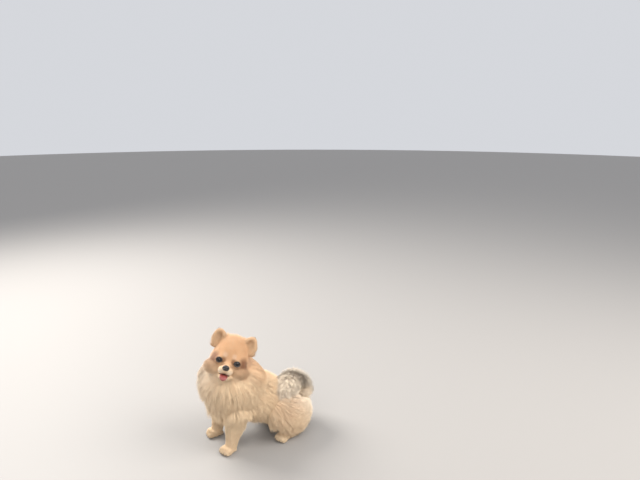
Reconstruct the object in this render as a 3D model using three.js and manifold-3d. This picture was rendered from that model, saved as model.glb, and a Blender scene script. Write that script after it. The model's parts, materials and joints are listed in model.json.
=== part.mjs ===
// A toy pomeranian, sitting, life-size: a still model of the whole dog, with its head turned to its
// left and its mouth a little open. Millimetres, +Z up. The dog faces -Y and its left side is +X.
// The origin is on the floor, under the middle of the model's bounding box.
import * as THREE from "three";
import { mergeVertices } from "three/addons/utils/BufferGeometryUtils.js";
import Module from "manifold-3d";

const wasm = await Module();
wasm.setup();
const { Manifold, Mesh: SolidMesh } = wasm;
const { clamp, degToRad, lerp } = THREE.MathUtils;
const V = (x, y, z) => new THREE.Vector3(x, y, z);

// Driving dimensions, in millimetres and degrees.
const GAP = 0.35; // between touching nodes
const FLOOR_CLEAR = 2; // the lowest that a lock's middle line may reach
const ROOT = 8; // how deep the root of a lock is sunk in its core
const SIDES = [1, -1]; // left, right
const sideName = (side) => (side > 0 ? "left" : "right");

// The head is modelled level, facing -Y, about its own middle, and then turned and set on the neck.
const HEAD = { at: V(6, -40, 186), yaw: 64, pitch: 23, roll: 18 };
const CRANIUM = { at: V(0, 5, 11), half: V(36, 36, 34) };
const FACE = { at: V(0, -9, 2), half: V(32, 23, 26) };
const CHEEK = { at: V(20, -5, -13), half: V(22, 23, 21) };
const MUZZLE = [
  [0, -47, -13, 8, 6.5],
  [0, -41, -13.5, 11.5, 9],
  [0, -31, -13, 15.5, 12],
  [0, -14, -10, 22, 17],
];
const JAW = [
  [0, -38, -28.5, 5.5, 3],
  [0, -31, -29.5, 10, 4.5],
  [0, -18, -28, 14, 7],
  [0, -4, -24, 15, 9],
];
const MOUTH = [
  [0, -46, -23.8, 8, 2],
  [0, -37, -23.8, 12, 3],
  [0, -25, -22, 14, 2.2],
  [0, -17, -20.5, 9, 1],
];
const TONGUE = [
  [0, -44, -29.5, 3.5, 1.2],
  [0, -40, -26.8, 6.4, 1.8],
  [0, -32, -24.6, 7.2, 2],
  [0, -20, -23.2, 5.5, 1.6],
];
const EYE = { at: V(17.2, -24, 2), radius: 7.4, outward: 22 };
const LID = { radius: 7, tube: 1.9, ahead: 3.6 };
const NOSE = { at: V(0, -48.6, -10), half: V(7.2, 5, 5.6) };
const NOSTRIL = { at: V(3.4, -53, -10.4), half: V(1.7, 2.6, 1.5) };
const CLEFT = { at: V(0, -50.5, -17.4), size: V(0.9, 9, 5.5) };
const EAR = [
  [25, 6, 24, 14, 8],
  [30, 4, 38, 14.5, 8],
  [34, 2, 50, 12, 6.5],
  [36.5, 0, 59, 6.5, 4],
  [37.5, -1, 63, 2.5, 2],
];
const EAR_CUP = { at: V(33.5, -6.5, 42), half: V(9, 7, 15), lean: 14 };

// Each flesh form is a row of stations: x, y, z of its middle, half its width and half its depth.
// A coated form holds the body and the inner half of its coat, and its locks make the rest.
const NECK = [
  [-16, -28, 212, 18, 24],
  [-14, -29, 198, 30, 38],
  [-8, -31, 176, 40, 47],
  [-2, -31, 152, 48, 50],
  [0, -30, 132, 48, 48],
  [0, -30, 120, 40, 40],
];
const TORSO = [
  [0, -68, 108, 22, 24],
  [0, -48, 108, 38, 42],
  [0, -15, 106, 44, 50],
  [0, 25, 92, 45, 50],
  [0, 62, 68, 42, 42],
  [0, 95, 50, 38, 34],
  [0, 116, 44, 20, 20],
];
const FORELEG = [
  [31, -34, 104, 12, 20],
  [34, -41, 86, 15, 21],
  [37, -48, 60, 13.5, 15.5],
  [37.5, -53, 34, 11.5, 12.5],
  [38, -56, 15, 11.5, 12],
  [38, -58, 4, 10, 11],
];
const FOREPAW = { at: V(38, -62, 7), half: V(13.5, 17, 10.5), turn: 16 };
const THIGH = [
  [54, 34, 40, 8, 14],
  [54, 48, 45, 19, 29],
  [51, 72, 49, 24, 37],
  [47, 96, 46, 22, 35],
  [40, 114, 38, 12, 20],
];
const SHANK = [
  [58, 62, 8, 12, 9],
  [57, 78, 9, 12.5, 10],
  [54, 98, 11, 12, 11],
  [51, 110, 14, 9, 9],
];
const HINDPAW = { at: V(60, 58, 7), half: V(13.5, 17, 10.5), turn: 18 };
const TOES = { count: 4, half: V(5, 8, 7), step: 6.6, ahead: 9.5, height: 6 };
const CLAW = { radius: 1.5, length: 6, ahead: 7.5, height: -1.5 };
const TAIL = [
  [0, 112, 62, 11, 11],
  [3, 124, 80, 12, 12],
  [8, 119, 98, 12, 12],
  [16, 103, 108, 11, 11],
  [24, 86, 110, 9, 9],
  [30, 70, 105, 5, 5],
];

// The width of a lock at its root, its two rings and its tip, as shares of its full width.
const LOCK_WIDTHS = [0.8, 1, 0.72, 0];

// The coat: how many rows of locks each form carries and how many go round it, and the sizes of a
// lock, where stand is how far its tip stands off the core and droop how far it sinks.
const COAT = {
  ruff: { rows: 6, around: 12, seed: 7, lock: { length: 44, width: 27, stand: 18, droop: 6 } },
  body: { rows: 7, around: 11, seed: 11, lock: { length: 44, width: 27, stand: 13, droop: 10 } },
  breeches: { rows: 5, around: 7, lock: { length: 33, width: 21, stand: 11, droop: 5 } },
  plume: { rows: 5, around: 5, seed: 31, lock: { length: 46, width: 23, stand: 17, droop: 6 } },
  feathering: { rows: 4, around: 5, to: 0.62, lock: { length: 22, width: 13, stand: 7, droop: 3 } },
  cheeks: { rows: 3, around: 15, seed: 5, from: 0.22, lock: { length: 20, width: 15, stand: 9, droop: 2 } },
};
const HEAD_COAT = [
  [0, -24, -4, 20, 18],
  [0, -10, -1, 32, 31],
  [0, 8, 3, 35, 34],
  [0, 24, 6, 28, 28],
];
// How much higher, and how much shorter, a lock that would cross another node is tried.
const BENDS = [[0, 1], [7, 1], [14, 0.9], [7, 0.7], [0, 0.5]];
const MOST_CROSSING = 0.12; // the share of a lock that may be cut away

// A seeded draw from 0 to 1, so that each build gives the same coat.
function draws(seed) {
  let state = seed;
  return () => {
    state = (state * 1664525 + 1013904223) % 4294967296;
    return state / 4294967296;
  };
}

// A closed solid of a geometry, with its shared vertices merged and its faces pointing out.
function solid(geometry) {
  const bare = geometry.clone();
  for (const name of ["normal", "uv"]) bare.deleteAttribute(name);
  const merged = mergeVertices(bare, 1e-4);
  const triVerts = new Uint32Array(merged.index.array);
  const vertProperties = new Float32Array(merged.attributes.position.array);
  const made = new Manifold(new SolidMesh({ numProp: 3, vertProperties, triVerts }));
  if (made.volume() > 0) return made;
  for (let i = 0; i < triVerts.length; i += 3) {
    [triVerts[i + 1], triVerts[i + 2]] = [triVerts[i + 2], triVerts[i + 1]];
  }
  return new Manifold(new SolidMesh({ numProp: 3, vertProperties, triVerts }));
}

// The geometry of a solid, for its mesh.
function geometryOf(made) {
  const { vertProperties, triVerts } = made.getMesh();
  const geometry = new THREE.BufferGeometry();
  geometry.setAttribute("position", new THREE.BufferAttribute(vertProperties, 3));
  geometry.setIndex(new THREE.BufferAttribute(triVerts, 1));
  geometry.computeVertexNormals();
  return geometry;
}

// The largest closed body of a solid, with no hollow that fusing has sealed.
function largest(made) {
  return made.decompose().reduce((best, body) => (body.volume() > best.volume() ? body : best));
}

const join = (...made) => Manifold.union(made.flat());
const mirrored = (at, side) => V(at.x * side, at.y, at.z);

// A turn about X, then Y, then Z, in degrees, as a matrix.
function turned(x, y, z) {
  const euler = new THREE.Euler(degToRad(x), degToRad(y), degToRad(z), "ZYX");
  return new THREE.Matrix4().makeRotationFromEuler(euler);
}

// An ellipsoid, grown on every side, turned about its middle.
function ball(at, half, { grow = 0, turn = [0, 0, 0], across = 18, down = 12 } = {}) {
  const geometry = new THREE.SphereGeometry(1, across, down);
  geometry.rotateX(Math.PI / 2).scale(half.x + grow, half.y + grow, half.z + grow);
  return solid(geometry.applyMatrix4(turned(...turn)).translate(at.x, at.y, at.z));
}

// A rounded form along a row of stations. A turn of 0 on it is the side towards +X, and a quarter
// turn is the side towards its own up: +Z on a form that runs towards +Y, +Y on one that runs down.
class Flesh {
  constructor(stations, side = 1) {
    this.line = new THREE.CatmullRomCurve3(stations.map(([x, y, z]) => V(x * side, y, z)));
    this.halves = new THREE.CatmullRomCurve3(stations.map(([, , , w, h]) => V(w, h, 0)));
  }

  frame(t) {
    const along = this.line.getTangent(t);
    const across = V(1, 0, 0).addScaledVector(along, -along.x).normalize();
    return { along, across, up: across.clone().cross(along).normalize() };
  }

  point(t, turn, grow = 0) {
    const { across, up } = this.frame(t);
    const half = this.halves.getPoint(t);
    return this.line
      .getPoint(t)
      .addScaledVector(across, Math.cos(turn) * (half.x + grow))
      .addScaledVector(up, Math.sin(turn) * (half.y + grow));
  }

  // A point on the form, and the direction that faces out of it.
  surface(t, turn, step = 0.01) {
    const ahead = this.point(Math.min(t + step, 1), turn).sub(this.point(Math.max(t - step, 0), turn));
    const round = this.point(t, turn + step).sub(this.point(t, turn - step));
    const at = this.point(t, turn);
    const normal = ahead.cross(round).normalize();
    if (normal.dot(at.clone().sub(this.line.getPoint(t))) < 0) normal.negate();
    return { at, normal };
  }

  solid({ sides = 18, rings = 12, grow = 0 } = {}) {
    const geometry = new THREE.SphereGeometry(1, sides, rings);
    const spots = geometry.attributes.position;
    for (let i = 0; i < spots.count; i++) {
      const [x, y, z] = [spots.getX(i), spots.getY(i), spots.getZ(i)];
      const t = 1 - Math.acos(clamp(y, -1, 1)) / Math.PI;
      const spot = Math.hypot(x, z) < 1e-6 ? this.end(Math.round(t), grow) : this.point(t, Math.atan2(z, x), grow);
      spots.setXYZ(i, spot.x, spot.y, spot.z);
    }
    return solid(geometry);
  }

  // The tip of the form at its first or last station, a little past its middle line.
  end(t, grow) {
    const past = (t > 0.5 ? 1 : -1) * (this.halves.getPoint(t).x * 0.35 + grow);
    return this.line.getPoint(t).addScaledVector(this.frame(t).along, past);
  }
}

const flesh = (stations, options = {}, side = 1) => new Flesh(stations, side).solid(options);

// One lock of the coat: flat and tapered, from a root sunk under a spot on the surface, along the
// lie of the coat, to a tip that stands off the surface and droops.
function lock({ at, normal, lie, length, width, thick, stand, droop }, grow = 0) {
  const along = lie.clone().addScaledVector(normal, -lie.dot(normal)).normalize();
  const root = at.clone().addScaledVector(normal, -ROOT).addScaledVector(along, -ROOT / 2);
  const bend = at.clone().addScaledVector(normal, stand * 0.8).addScaledVector(along, length * 0.35);
  const tip = at.clone().addScaledVector(normal, stand).addScaledVector(along, length);
  tip.z -= droop;
  for (const spot of [bend, tip]) spot.z = Math.max(spot.z, FLOOR_CLEAR + grow);
  const line = new THREE.QuadraticBezierCurve3(root, bend, tip);
  const geometry = new THREE.ConeGeometry(1, 1, 3, 3).translate(0, 0.5, 0);
  const spots = geometry.attributes.position;
  for (let i = 0; i < spots.count; i++) {
    const t = spots.getY(i);
    const heading = line.getPoint(Math.max(t, 1 / 3)).sub(line.getPoint(Math.max(t, 1 / 3) - 1 / 3)).normalize();
    const across = along.clone().cross(normal).normalize();
    const up = across.clone().cross(heading).normalize();
    const full = LOCK_WIDTHS[Math.round(t * 3)] / Math.max(1 - t, 0.01);
    const spot = line.getPoint(t);
    spot.addScaledVector(heading, grow * (t > 0.9 ? 5 : t - 0.5));
    spot.addScaledVector(across, spots.getX(i) * 1.155 * full * (width / 2 + grow));
    spot.addScaledVector(up, spots.getZ(i) * full * (thick / 2 + grow));
    spots.setXYZ(i, spot.x, spot.y, spot.z);
  }
  return solid(geometry);
}

// The locks of a rounded form, in staggered rows along it. style gives each lock's sizes and lie
// from its spot, or nothing where none grows.
function locksOn(form, { rows, around, seed, from = 0.06, to = 0.96 }, style) {
  const draw = draws(seed);
  const spread = (size) => (draw() - 0.5) * 2 * size;
  const locks = [];
  for (let row = 0; row < rows; row++) {
    for (let i = 0; i < around; i++) {
      const t = clamp(lerp(from, to, row / (rows - 1)) + spread(0.3) / rows, 0.02, 0.98);
      const turn = ((i + (row % 2) / 2 + spread(0.22)) / around) * Math.PI * 2;
      const { at, normal } = form.surface(t, turn);
      const sizes = style({ at, normal, t, turn, line: form.line.getPoint(t) });
      const [a, b, c] = [spread(0.12), spread(0.15), spread(0.2)];
      if (!sizes) continue;
      const lie = sizes.lie.clone().normalize().add(V(b, c, -b).multiplyScalar(0.8));
      const length = sizes.length * (1 + a);
      const width = sizes.width * (1 + b);
      locks.push({ at, normal, thick: width * 0.32, ...sizes, lie, length, width });
    }
  }
  return locks;
}

// The head without its coat: skull, brow, cheeks, muzzle and open jaw.
function headFlesh(grow = 0) {
  return join(
    ball(CRANIUM.at, CRANIUM.half, { grow, across: 15, down: 9 }),
    ball(FACE.at, FACE.half, { grow, across: 12, down: 9 }),
    SIDES.map((side) => ball(mirrored(CHEEK.at, side), CHEEK.half, { grow, across: 11, down: 7 })),
    flesh(MUZZLE, { grow, sides: 11, rings: 7 }),
    flesh(JAW, { grow, sides: 10, rings: 6 }),
  );
}

function eyeball(side, grow = 0) {
  const half = V(EYE.radius, EYE.radius, EYE.radius);
  return ball(mirrored(EYE.at, side), half, { grow, across: 11, down: 7 });
}

// The rim of both lids, a ring round the front of the eye.
function lids(side) {
  const ring = new THREE.TorusGeometry(LID.radius, LID.tube, 4, 11).rotateX(Math.PI / 2);
  ring.scale(1.08, 1, 0.92).translate(0, -LID.ahead, 0);
  ring.applyMatrix4(turned(0, 0, EYE.outward * side));
  const at = mirrored(EYE.at, side);
  return solid(ring.translate(at.x, at.y, at.z));
}

const tongue = (grow = 0) => flesh(TONGUE, { grow, sides: 8, rings: 7 });
const noseLeather = (grow = 0) => ball(NOSE.at, NOSE.half, { grow, across: 12, down: 8 });

function nose() {
  const holes = SIDES.map((side) => ball(mirrored(NOSTRIL.at, side), NOSTRIL.half, { across: 6, down: 4 }));
  return noseLeather().subtract(join(holes));
}

// The face: lids on the skull, the mouth's opening, and room for the eyes, nose and tongue.
function face() {
  const cleft = new THREE.BoxGeometry(...CLEFT.size.toArray());
  const cleftSolid = solid(cleft.translate(CLEFT.at.x, CLEFT.at.y, CLEFT.at.z));
  const cuts = [
    SIDES.map((side) => eyeball(side, GAP)),
    noseLeather(GAP),
    flesh(MOUTH, { sides: 10, rings: 7 }),
    tongue(GAP),
    cleftSolid,
  ].flat();
  return join(headFlesh(), SIDES.map(lids)).subtract(join(cuts));
}

// One ear: a rounded, upright cup that opens forward.
function ear(side) {
  const { at, half, lean } = EAR_CUP;
  const cup = ball(mirrored(at, side), half, { turn: [0, lean * side, 0], across: 10, down: 7 });
  return flesh(EAR, { sides: 10, rings: 8 }, side).subtract(join(cup, headFlesh(GAP)));
}

// A paw with its toes and claws.
function paw({ at, half, turn }, side, grow) {
  const pieces = [ball(V(0, 0, 0), half, { grow, across: 10, down: 6 })];
  const claw = new THREE.ConeGeometry(CLAW.radius, CLAW.length, 4).rotateX(Math.PI / 2 + 0.35);
  for (let i = 0; i < TOES.count; i++) {
    const place = i - (TOES.count - 1) / 2;
    const toe = V(place * TOES.step, -TOES.ahead + Math.abs(place) * 2, TOES.height - at.z);
    pieces.push(ball(toe, TOES.half, { grow, across: 7, down: 5 }));
    const tip = claw.clone().translate(toe.x, toe.y - CLAW.ahead, toe.z + CLAW.height);
    pieces.push(solid(tip));
  }
  const spot = mirrored(at, side);
  const placed = turned(0, 0, turn * side).setPosition(spot.x, spot.y, spot.z);
  return join(pieces).transform(placed.elements);
}

// The legs end flat on the floor.
function foreleg(side, grow = 0) {
  const leg = flesh(FORELEG, { grow, sides: 10, rings: 8 }, side);
  return join(leg, paw(FOREPAW, side, grow)).trimByPlane([0, 0, 1], 0);
}

function hindleg(side, grow = 0) {
  const thigh = flesh(THIGH, { grow, sides: 12, rings: 8 }, side);
  const shank = flesh(SHANK, { grow, sides: 8, rings: 6 }, side);
  return join(thigh, shank, paw(HINDPAW, side, grow)).trimByPlane([0, 0, 1], 0);
}

const headPlace = new THREE.Matrix4()
  .makeRotationFromEuler(
    new THREE.Euler(degToRad(-HEAD.pitch), degToRad(HEAD.roll), degToRad(HEAD.yaw), "ZXY"),
  )
  .setPosition(HEAD.at);
const onHead = (made) => made.transform(headPlace.elements);
const FACE_WAY = V(0, -1, 0).transformDirection(headPlace);
const DOWN = V(0, 0, -1);
const BACK = V(0, 1, 0);

// The ruff lies away from the face and down, and is longest on the chest.
function ruff() {
  return locksOn(new Flesh(NECK), COAT.ruff, ({ at, t }) => {
    const out = at.clone().sub(HEAD.at);
    const lie = out.addScaledVector(FACE_WAY, -out.dot(FACE_WAY)).normalize();
    lie.addScaledVector(FACE_WAY, -0.4).addScaledVector(DOWN, lerp(0.3, 1.3, t));
    return { lie, ...COAT.ruff.lock };
  });
}

// The body coat lies back along the spine and falls at the sides, with a fringe under the belly.
function bodyCoat() {
  return locksOn(new Flesh(TORSO), COAT.body, ({ normal, t }) => {
    if (normal.z < -0.7) return null;
    const fall = lerp(1, 0.25, clamp(normal.z, 0, 1)) * lerp(1.6, 0.9, t);
    const lie = BACK.clone().addScaledVector(DOWN, fall);
    return { lie, ...COAT.body.lock };
  });
}

// The breeches hang down and back from the outside and the rear of each thigh.
function breeches(side) {
  return locksOn(new Flesh(THIGH, side), { ...COAT.breeches, seed: 23 + side }, ({ at, line, normal }) => {
    const outside = (at.x - line.x) * side > -2;
    if (!outside && normal.y < 0.6) return null;
    return { lie: V(0, 0.5, -1), ...COAT.breeches.lock };
  });
}

// The plume fans out of the tail, away from the line of its bone and towards its tip.
function plume() {
  return locksOn(new Flesh(TAIL), COAT.plume, ({ normal, t }) => {
    const along = new Flesh(TAIL).line.getTangent(t);
    const lie = along.addScaledVector(normal, 0.5).addScaledVector(V(1, 0, 0), 0.3);
    return { lie, ...COAT.plume.lock };
  });
}

// Feathering down the back and the outside of each foreleg.
function feathering(side) {
  return locksOn(new Flesh(FORELEG, side), { ...COAT.feathering, seed: 41 + side }, ({ normal }) => {
    if (normal.y < 0.1 && normal.x * side < 0.4) return null;
    return { lie: V(0.15 * side, 0.35, -1), ...COAT.feathering.lock };
  });
}

// The tufts of the cheeks and crown lie out and back from the face, all round it.
function cheekTufts() {
  const tufts = locksOn(new Flesh(HEAD_COAT), COAT.cheeks, ({ normal }) => {
    const lie = V(normal.x * 0.9, 0.7, lerp(-0.7, 0.1, clamp(normal.z, 0, 1)));
    return { lie, ...COAT.cheeks.lock };
  });
  return tufts.map((tuft) => ({
    ...tuft,
    at: tuft.at.applyMatrix4(headPlace),
    normal: tuft.normal.transformDirection(headPlace),
    lie: tuft.lie.transformDirection(headPlace),
  }));
}

// The nodes: the core of each, the same core grown by the gap, and its locks. A node takes its
// room before those after it.
const nodes = {
  nose: { core: nose(), room: noseLeather(GAP) },
  tongue: { core: tongue(), room: tongue(GAP) },
};
for (const side of SIDES) {
  const outer = flesh(EAR, { sides: 10, rings: 8, grow: GAP }, side).subtract(headFlesh());
  nodes[`eye_${sideName(side)}`] = { core: eyeball(side), room: eyeball(side, GAP) };
  nodes[`ear_${sideName(side)}`] = { core: ear(side), room: outer };
}
nodes.head = { core: face(), room: headFlesh(GAP) };
for (const node of Object.values(nodes)) {
  node.core = onHead(node.core);
  node.room = onHead(node.room);
}
nodes.head.locks = cheekTufts();
nodes.neck = {
  core: flesh(NECK, { rings: 10 }),
  room: flesh(NECK, { grow: GAP, rings: 10 }),
  locks: ruff(),
};
nodes.torso = { core: flesh(TORSO), room: flesh(TORSO, { grow: GAP }), locks: bodyCoat() };
nodes.tail = {
  core: flesh(TAIL, { sides: 10, rings: 10 }),
  room: flesh(TAIL, { grow: GAP, sides: 10, rings: 10 }),
  locks: plume(),
};
for (const side of SIDES) {
  nodes[`foreleg_${sideName(side)}`] = {
    core: foreleg(side),
    room: foreleg(side, GAP),
    locks: feathering(side),
  };
  nodes[`hindleg_${sideName(side)}`] = {
    core: hindleg(side),
    room: hindleg(side, GAP),
    locks: breeches(side),
  };
}

// The share of a lock that lies inside any of some solids.
function crossing(made, others) {
  const bounds = made.boundingBox();
  const near = others.filter(({ box }) => {
    return [0, 1, 2].every((i) => box.min[i] < bounds.max[i] && box.max[i] > bounds.min[i]);
  });
  const shared = near.reduce((sum, { room }) => sum + made.intersect(room).volume(), 0);
  return shared / made.volume();
}

// Each lock is bent up from its lie, or made shorter, until it is clear of the other nodes. One
// that stays mostly inside them doesn't grow.
function fitted(sizes, others) {
  for (const [lift, share] of BENDS) {
    const tried = { ...sizes, stand: sizes.stand + lift, length: sizes.length * share };
    if (crossing(lock(tried), others) < MOST_CROSSING) return tried;
  }
  return null;
}

const made = Object.values(nodes);
for (const node of made) node.box = node.room.boundingBox();
made.forEach((node, place) => {
  const others = made.filter((other) => other !== node);
  const kept = (node.locks ?? []).map((sizes) => fitted(sizes, others)).filter(Boolean);
  const earlier = made.slice(0, place).flatMap((other) => [other.room, other.shape]);
  const grown = join(node.core, kept.map((sizes) => lock(sizes)));
  node.shape = largest(place > 0 ? grown.subtract(join(earlier)) : grown);
  node.room = join(node.room, kept.map((sizes) => lock(sizes, GAP * 1.6)));
  node.box = node.room.boundingBox();
});

const FINISHES = {
  cream: { color: 0xeadbc6, roughness: 0.9 },
  apricot: { color: 0xd3a47c, roughness: 0.9 },
  leather: { color: 0x15100e, roughness: 0.45 },
  eye: { color: 0x120a06, roughness: 0.08 },
  tongue: { color: 0xc0595c, roughness: 0.4 },
};
const WEARS = { head: "apricot", ear: "apricot", nose: "leather", eye: "eye", tongue: "tongue" };

const dog = new THREE.Group();
for (const [name, { shape }] of Object.entries(nodes)) {
  const finish = FINISHES[WEARS[name.split("_")[0]] ?? "cream"];
  const material = new THREE.MeshStandardMaterial({ metalness: 0, ...finish });
  const mesh = new THREE.Mesh(geometryOf(shape), material);
  mesh.name = name;
  dog.add(mesh);
}

// The origin goes under the middle of the bounding box.
const box = new THREE.Box3().setFromObject(dog);
const middle = box.getCenter(V(0, 0, 0));
dog.position.set(-middle.x, -middle.y, -box.min.z);
export default dog;
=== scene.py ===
"""A toy pomeranian, sitting, with its head turned to its left and its mouth a little open.

One smooth skin stands for the flesh of the whole dog, and its long coat is made of tufts that are
rooted in that skin and follow the lie of the hair. The eyes, lids, nose, tongue and claws are
pieces of their own. Sizes are in millimetres in the dog's own frame, in which it faces -Y, its
left side is +X and the floor is at zero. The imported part's frame differs from it by one shift.
"""

import bpy
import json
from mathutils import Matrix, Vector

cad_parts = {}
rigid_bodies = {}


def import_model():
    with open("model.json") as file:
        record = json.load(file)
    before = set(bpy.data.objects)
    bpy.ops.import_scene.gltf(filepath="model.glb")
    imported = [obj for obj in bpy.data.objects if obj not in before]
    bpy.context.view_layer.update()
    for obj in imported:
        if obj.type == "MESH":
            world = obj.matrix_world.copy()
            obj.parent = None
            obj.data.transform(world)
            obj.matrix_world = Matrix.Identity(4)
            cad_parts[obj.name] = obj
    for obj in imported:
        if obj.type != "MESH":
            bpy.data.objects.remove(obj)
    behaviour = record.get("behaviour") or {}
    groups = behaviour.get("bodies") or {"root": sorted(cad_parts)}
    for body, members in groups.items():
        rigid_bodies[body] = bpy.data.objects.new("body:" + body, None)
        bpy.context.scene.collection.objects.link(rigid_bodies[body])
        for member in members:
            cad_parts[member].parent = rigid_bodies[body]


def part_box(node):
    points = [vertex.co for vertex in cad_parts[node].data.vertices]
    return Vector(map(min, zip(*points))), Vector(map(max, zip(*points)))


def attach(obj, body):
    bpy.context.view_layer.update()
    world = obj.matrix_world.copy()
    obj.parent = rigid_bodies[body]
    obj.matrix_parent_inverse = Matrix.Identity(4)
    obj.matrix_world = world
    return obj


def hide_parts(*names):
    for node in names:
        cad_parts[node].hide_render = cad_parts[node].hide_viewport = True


for unused in list(bpy.data.objects):
    bpy.data.objects.remove(unused)

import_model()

import json
import logging
import math
from dataclasses import dataclass, field
from enum import Enum
from typing import Callable, Sequence

import bmesh
import numpy as np
from mathutils import Euler, Matrix, Vector
from mathutils.kdtree import KDTree

logging.basicConfig(level=logging.INFO, format="%(name)s: %(message)s")
log = logging.getLogger("pomeranian")

MM = 0.001
Array = np.ndarray
Station = Sequence[float]


class Region(Enum):
    """The parts of the dog that grow a coat of their own."""

    HEAD = "head"
    EARS = "ears"
    RUFF = "ruff"
    BODY = "body"
    BREECHES = "breeches"
    FORELEGS = "forelegs"
    HOCKS = "hocks"
    PAWS = "paws"
    TAIL = "tail"


class Slot(Enum):
    """The record's material slots."""

    CREAM = "cream_coat"
    NOSE = "nose_leather"
    EYE = "eye"
    TONGUE = "tongue"


SIDES = (1, -1)
NOSE_TIP = (0, -48, -8)  # in the level head's frame
LINE_POINTS = 60  # how many points of a form's middle line are read


def side_name(side: int) -> str:
    """Names a side.

    Args:
        side: 1 for the dog's left, -1 for its right.

    Returns:
        "left" or "right".
    """
    return "left" if side > 0 else "right"


def unit(vectors: Array) -> Array:
    """Scales vectors to length one.

    Args:
        vectors: rows of x, y, z.

    Returns:
        The same directions, each of length one.
    """
    return vectors / np.maximum(np.linalg.norm(vectors, axis=-1, keepdims=True), 1e-9)


def smooth(low: float, high: float, values: Array) -> Array:
    """A smooth step.

    Args:
        low: the value at which the step starts.
        high: the value at which it ends, which may be the lower one.
        values: what is stepped.

    Returns:
        0 to 1 for each value.
    """
    t = np.clip((values - low) / (high - low), 0, 1)
    return t * t * (3 - 2 * t)


def rows_of(items: Sequence, name: str, width: int, kind: type = float) -> Array:
    """Reads one property of many items.

    Args:
        items: the collection, such as a mesh's vertices.
        name: the property.
        width: how many numbers each item has.
        kind: the type of the numbers.

    Returns:
        One row for each item.
    """
    values = np.empty(len(items) * width, kind)
    items.foreach_get(name, values)
    return values.reshape(-1, width)


def linked(name: str, data: bpy.types.ID) -> bpy.types.Object:
    """Makes an object and links it to the scene.

    Args:
        name: the object's name.
        data: its mesh, light or camera.

    Returns:
        The object.
    """
    made = bpy.data.objects.new(name, data)
    bpy.context.scene.collection.objects.link(made)
    return made


def aimed(target: bpy.types.Object, aim: Vector) -> None:
    """Turns a light or camera.

    Args:
        target: the light or camera.
        aim: the direction that it looks in.
    """
    target.rotation_mode = "QUATERNION"
    target.rotation_quaternion = aim.to_track_quat("-Z", "Y")


@dataclass(frozen=True)
class HeadPlace:
    """Where the level head is set on the neck, and how it is turned."""

    at: tuple[float, float, float] = (6, -40, 186)
    yaw: float = 64
    pitch: float = 23
    roll: float = 18

    def matrix(self) -> Matrix:
        """The placing of the head.

        Returns:
            The matrix from the level head's frame to the dog's.
        """
        turn = Matrix.Rotation(math.radians(self.yaw), 4, "Z")
        turn = turn @ Matrix.Rotation(math.radians(-self.pitch), 4, "X")
        turn = turn @ Matrix.Rotation(math.radians(self.roll), 4, "Y")
        return Matrix.Translation(self.at) @ turn

    def local(self, points: Array) -> Array:
        """Brings points of the dog into the head's frame.

        Args:
            points: rows of x, y, z in the dog's frame.

        Returns:
            The same points in the level head's frame.
        """
        back = np.array(self.matrix().inverted())
        return points @ back[:3, :3].T + back[:3, 3]

    def turned(self, vectors: Array) -> Array:
        """Turns directions of the head into the dog's frame.

        Args:
            vectors: rows of x, y, z in the head's frame.

        Returns:
            The same directions in the dog's frame.
        """
        return vectors @ np.array(self.matrix())[:3, :3].T


HEAD = HeadPlace()


@dataclass(frozen=True)
class Eye:
    """An eye in the level head's frame.

    opening is half the size of the hollow cut into the skin, and hollow_ahead how far its middle
    lies in front of the eye's. bare is half the size of the oval round it that grows no tufts.
    """

    at: tuple[float, float, float] = (17.2, -24, 2)
    radius: float = 7.3
    outward: float = 22
    opening: tuple[float, float, float] = (6.7, 5.1, 6.5)
    hollow_ahead: float = 8
    bare: tuple[float, float] = (6.9, 5.2)

    def centre(self, side: int) -> Vector:
        """The middle of one eye.

        Args:
            side: 1 for the left eye, -1 for the right.

        Returns:
            Its place in the dog's frame.
        """
        return HEAD.matrix() @ Vector((self.at[0] * side, self.at[1], self.at[2]))

    def matrix(self, side: int) -> Matrix:
        """The placing of an eye, with its own -Z looking out.

        Args:
            side: 1 for the left eye, -1 for the right.

        Returns:
            The matrix from the eye's frame to the dog's.
        """
        place = Matrix.Translation((self.at[0] * side, self.at[1], self.at[2]))
        turn = Matrix.Rotation(math.radians(self.outward * side), 4, "Z")
        return HEAD.matrix() @ place @ turn @ Matrix.Rotation(math.radians(-90), 4, "X")

    def local(self, side: int, points: Array) -> Array:
        """Brings points of the dog into the frame of one eye.

        Args:
            side: 1 for the left eye, -1 for the right.
            points: rows of x, y, z in the dog's frame.

        Returns:
            The same points in the eye's frame.
        """
        back = np.array(self.matrix(side).inverted())
        return points @ back[:3, :3].T + back[:3, 3]


EYE = Eye()


def packed_shift() -> Vector:
    """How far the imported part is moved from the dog's own frame.

    Returns:
        The shift in millimetres.
    """
    low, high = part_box("eye_left")
    return (low + high) / 2 / MM - EYE.centre(1)


SHIFT = packed_shift()


def curve_points(rows: Array, t: Array) -> Array:
    """Reads a smooth curve through rows of numbers.

    Args:
        rows: the rows that the curve passes through.
        t: places on the curve, from 0 at the first row to 1 at the last.

    Returns:
        One row for each place.
    """
    count = len(rows)
    spot = np.clip(t, 0, 1) * (count - 1)
    i = np.clip(spot.astype(int), 0, count - 2)
    u = (spot - i)[:, None]
    before = np.where(i[:, None] > 0, rows[np.maximum(i - 1, 0)], 2 * rows[0] - rows[1])
    after_last = 2 * rows[-1] - rows[-2]
    after = np.where(i[:, None] < count - 2, rows[np.minimum(i + 2, count - 1)], after_last)
    a, b = rows[i], rows[i + 1]
    slope_a, slope_b = (b - before) / 2, (after - a) / 2
    return (
        (2 * u**3 - 3 * u**2 + 1) * a
        + (u**3 - 2 * u**2 + u) * slope_a
        + (3 * u**2 - 2 * u**3) * b
        + (u**3 - u**2) * slope_b
    )


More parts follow.
